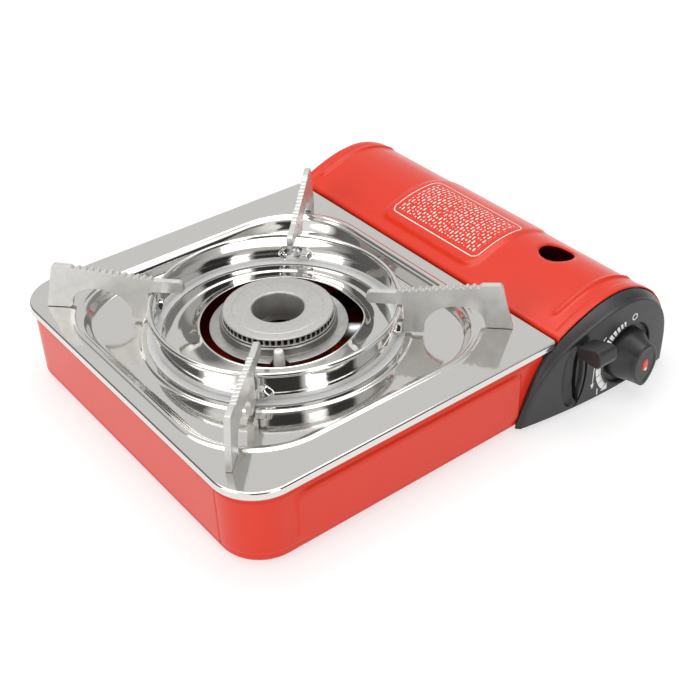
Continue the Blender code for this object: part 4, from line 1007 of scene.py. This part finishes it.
lid_grid[..., :2] = np.where(top_side[..., None], snapped, lid_grid[..., :2])


def lid_keep(corners):
    """Faces outside the vent, and clear of the two hinge lugs at the curl's ends."""
    middle = corners.mean(1)
    away = np.hypot(corners[..., 0] - VENT[0], corners[..., 1] - VENT[1])
    hole = (away.max(1) < VENT_REACH + 0.12) & (middle[:, 2] > 8.0)
    lugs = (middle[:, 2] < -31.8) & (np.abs(middle[:, 1]) > 130.4)
    return ~(hole | lugs)


lid = wall(skin("arched_lid", lid_grid, keep=lid_keep), 0.8, 0.0)
lid_red = red_enamel.copy()
lid_red.name = "lid_enamel"
tree = lid_red.node_tree


def sum_node(kind, one, other=None):
    """Maths node on two inputs, each a socket or a number."""
    made = tree.nodes.new("ShaderNodeMath")
    made.operation = kind
    for socket, value in zip(made.inputs, (one, other)):
        if isinstance(value, (int, float)):
            socket.default_value = value
        elif value is not None:
            tree.links.new(value, socket)
    return made.outputs[0]


split = tree.nodes.new("ShaderNodeSeparateXYZ")
tree.links.new(tree.nodes["place"].outputs["Object"], split.inputs[0])
print_x, print_y, _ = row((160.25, 3.5, 0.0))
half_across, half_along, corner = 0.02325, 0.0445, 0.005
across = sum_node("ABSOLUTE", sum_node("SUBTRACT", split.outputs["X"], float(print_x)))
along = sum_node("ABSOLUTE", sum_node("SUBTRACT", split.outputs["Y"], float(print_y)))
corner_x = sum_node("SUBTRACT", across, half_across - corner)
corner_y = sum_node("SUBTRACT", along, half_along - corner)
bend_x = sum_node("MAXIMUM", corner_x, 0.0)
bend_y = sum_node("MAXIMUM", corner_y, 0.0)
bend_far = sum_node("SQRT", sum_node("ADD", sum_node("MULTIPLY", bend_x, bend_x),
                                     sum_node("MULTIPLY", bend_y, bend_y)))
deep = sum_node("MINIMUM", sum_node("MAXIMUM", corner_x, corner_y), 0.0)
border = sum_node("ABSOLUTE", sum_node("SUBTRACT", sum_node("ADD", bend_far, deep), corner))
frame_line = sum_node("LESS_THAN", border, 0.00038)
dashes = tree.nodes.new("ShaderNodeTexBrick")
dashes.offset = 0.37
dashes.squash = 0.7
dashes.squash_frequency = 3
dash_place = tree.nodes.new("ShaderNodeMapping")
tree.links.new(tree.nodes["place"].outputs["Object"], dash_place.inputs["Vector"])
tree.links.new(dash_place.outputs["Vector"], dashes.inputs["Vector"])
dashes.inputs["Color1"].default_value = (1.0, 1.0, 1.0, 1.0)
dashes.inputs["Color2"].default_value = (1.0, 1.0, 1.0, 1.0)
dashes.inputs["Mortar"].default_value = (0.0, 0.0, 0.0, 1.0)
dashes.inputs["Scale"].default_value = 1.0
dashes.inputs["Mortar Size"].default_value = 0.0009
dashes.inputs["Mortar Smooth"].default_value = 0.1
dashes.inputs["Brick Width"].default_value = 0.0048
dashes.inputs["Row Height"].default_value = 0.0029
in_block = sum_node("MULTIPLY", sum_node("LESS_THAN", across, 0.0195),
                    sum_node("LESS_THAN", along, 0.0405))
worn = sum_node("GREATER_THAN", noise_on(lid_red, 420.0, 2.0), 0.43)
dash_mask = sum_node("MULTIPLY", sum_node("MULTIPLY", dashes.outputs["Color"], in_block), worn)
above = sum_node("GREATER_THAN", split.outputs["Z"], 0.058)
print_mask = sum_node("MULTIPLY", sum_node("MAXIMUM", frame_line, dash_mask), above)
paint = tree.nodes.new("ShaderNodeMix")
paint.data_type = "RGBA"
shader = tree.nodes["Principled BSDF"]
under = shader.inputs["Base Color"].links[0].from_socket
tree.links.new(print_mask, paint.inputs["Factor"])
tree.links.new(under, paint.inputs["A"])
paint.inputs["B"].default_value = (0.86, 0.80, 0.76, 1.0)
tree.links.new(paint.outputs["Result"], shader.inputs["Base Color"])
lid.data.materials.append(lid_red)
lid.data.materials.append(red_enamel)
lid.modifiers["sheet"].material_offset = 1
lid.modifiers["sheet"].material_offset_rim = 1
fitted(lid, "lid", "red_enamel", "lid")
rod = turned("hinge_pin", [(0.0, 135.0), (1.5, 135.0), (1.5, -135.0), (0.0, -135.0)],
             (223.2, 0.0, -35.5), FRONTWARD, closed=False, steps=40)
rod.data.materials.append(zinc)
fitted(rod, "base", "zinc_plated_steel", "hinge_rod")

# ---------------------------------------------------------------- pan ring and supports
# A bright rolled ring on a flat washer plate, with four galvanised arms riveted
# through pressed eight-sided pads. The whole trivet lifts off for cleaning.
galvanised = finish("galvanised_steel", (0.66, 0.65, 0.63), 0.45, 0.8)
mottle(galvanised, (0.64, 0.63, 0.61), (0.69, 0.68, 0.66), 240.0, 0.3, 0.7)
uneven(galvanised, 0.38, 0.5, 260.0)
relief(galvanised, 520.0, 0.03, 0.7, 4.0)
seat = turned("washer_plate", [(75.2, -6.5), (84.6, -6.5), (84.6, -7.3), (75.2, -7.3)],
              (0.0, 0.0, 0.0), steps=240, reach=0.2)
seat_satin = finish("washer_satin", (0.78, 0.78, 0.78), 0.5, 0.3)
mottle(seat_satin, (0.76, 0.76, 0.76), (0.80, 0.80, 0.80), 90.0)
uneven(seat_satin, 0.45, 0.55, 120.0)
relief(seat_satin, 900.0, 0.01)
seat.data.materials.append(seat_satin)
fitted(seat, "trivet", "galvanised_steel", "ring_seat")

roll = np.radians(np.linspace(-60.0, 165.0, 16))
ring_line = np.concatenate([
    np.column_stack([np.full(26, 80.0), np.linspace(-6.2, 10.9, 26)]),
    np.column_stack([80.6 + 1.75 * np.cos(roll), 12.6 + 1.75 * np.sin(roll)]),
    np.column_stack([np.full(26, 79.2), np.linspace(11.6, -6.2, 26)])])
PAD_HALF_WIDTH, PAD_HALF_HEIGHT, PAD_MIDDLE = 12.0, 5.4, -0.9
PAD_PUSH, PAD_SLOPE = 3.0, 2.4
ring_a = np.linspace(0.0, 2.0 * math.pi, 960, endpoint=False)
pad_t = np.abs((ring_a % (math.pi / 2.0)) - math.pi / 4.0) * 80.0
pad_z = np.abs(ring_line[:, 1] - PAD_MIDDLE)
pad_sd = np.maximum(np.maximum(pad_t[None] - PAD_HALF_WIDTH, pad_z[:, None] - PAD_HALF_HEIGHT),
                    (pad_t[None] + pad_z[:, None] - 13.2) * 0.7071)
pad_push = PAD_PUSH * np.clip(-pad_sd / PAD_SLOPE, 0.0, 1.0) * (ring_line[:, 1:] < 8.0)
ring_r = ring_line[:, :1] + pad_push
ring_grid = np.stack([ring_r * np.cos(ring_a), ring_r * np.sin(ring_a),
                      np.repeat(ring_line[:, 1:], len(ring_a), 1)], -1)
ring = crisp(skin("wind_shield_ring", ring_grid, around=True, along=True), 50.0)
bright = finish("bright_steel", (0.76, 0.755, 0.74), 0.06, 1.0)
mottle(bright, (0.75, 0.745, 0.73), (0.78, 0.775, 0.76), 12.0, 0.0, 1.0)
uneven(bright, 0.035, 0.06, 20.0)
relief(bright, 22.0, 0.02, 0.5, 1.0)
ring.data.materials.append(bright)
fitted(ring, "trivet", "bright_steel", "wind_ring")

arm_line = [(137.2, 0.35), (153.6, 0.35), (149.4, 16.0), (145.9, 30.6), (144.2, 32.4),
            (132.6, 31.8), (130.6, 29.8)]
TEETH = 12
TEETH_START, TEETH_END = 129.4, 78.0
tooth = (TEETH_START - TEETH_END) / TEETH
for index in range(TEETH):
    r = TEETH_START - tooth * index
    z = 29.9 - (TEETH_START - r) * 0.118
    arm_line += [(r, z), (r - tooth * 0.14, z + 1.0), (r - tooth * 0.34, z + 1.35),
                 (r - tooth * 0.55, z + 0.95), (r - tooth * 0.8, z - 0.35)]
arm_line += [(77.0, 23.8), (62.0, 23.4), (60.0, 22.2), (59.3, 19.5), (59.6, 16.6), (61.0, 15.1),
             (82.4, 14.9), (83.3, 14.2), (83.3, -5.2), (84.2, -6.0), (95.6, -6.0),
             (96.6, -5.0)]
arch = fair([(96.6, 1.0), (98.6, 5.6), (102.4, 10.0), (107.6, 13.2), (114.0, 15.0),
             (121.5, 15.2), (128.0, 13.4), (132.4, 10.4), (134.8, 6.6), (135.6, 2.4)], 60)
arm_outline = np.concatenate([soften(arm_line, 0.35, False, 3), arch])
for number in range(1, 5):
    turn = math.radians(45.0 + 90.0 * (number - 1))
    arm = slab("support_arm_%d" % number, arm_outline, -2.0, 2.0)
    middle = Matrix.Translation(row((0.0, 0.0, 0.0)))
    arm.data.transform(middle @ Matrix.Rotation(turn, 4, "Z") @ middle.inverted())
    crisp(arm, 40.0)
    break_edges(arm, 0.35, 2, 60.0)
    arm.data.materials.append(galvanised)
    fitted(arm, "trivet", "galvanised_steel", "pot_support_%d" % number)
    rivet = turned("arm_rivet_%d" % number,
                   [(0.0, 3.0), (1.8, 3.0), (1.8, 0.9), (3.6, 0.9), (3.3, -0.2), (2.0, -1.1),
                    (0.0, -1.4)],
                   (79.8 * math.cos(turn), 79.8 * math.sin(turn), -0.6),
                   (0.0, math.pi / 2.0, turn), closed=False, reach=0.3, steps=48)
    rivet.data.materials.append(zinc)
    fitted(rivet, "trivet", "zinc_plated_steel", "support_rivet_%d" % number)
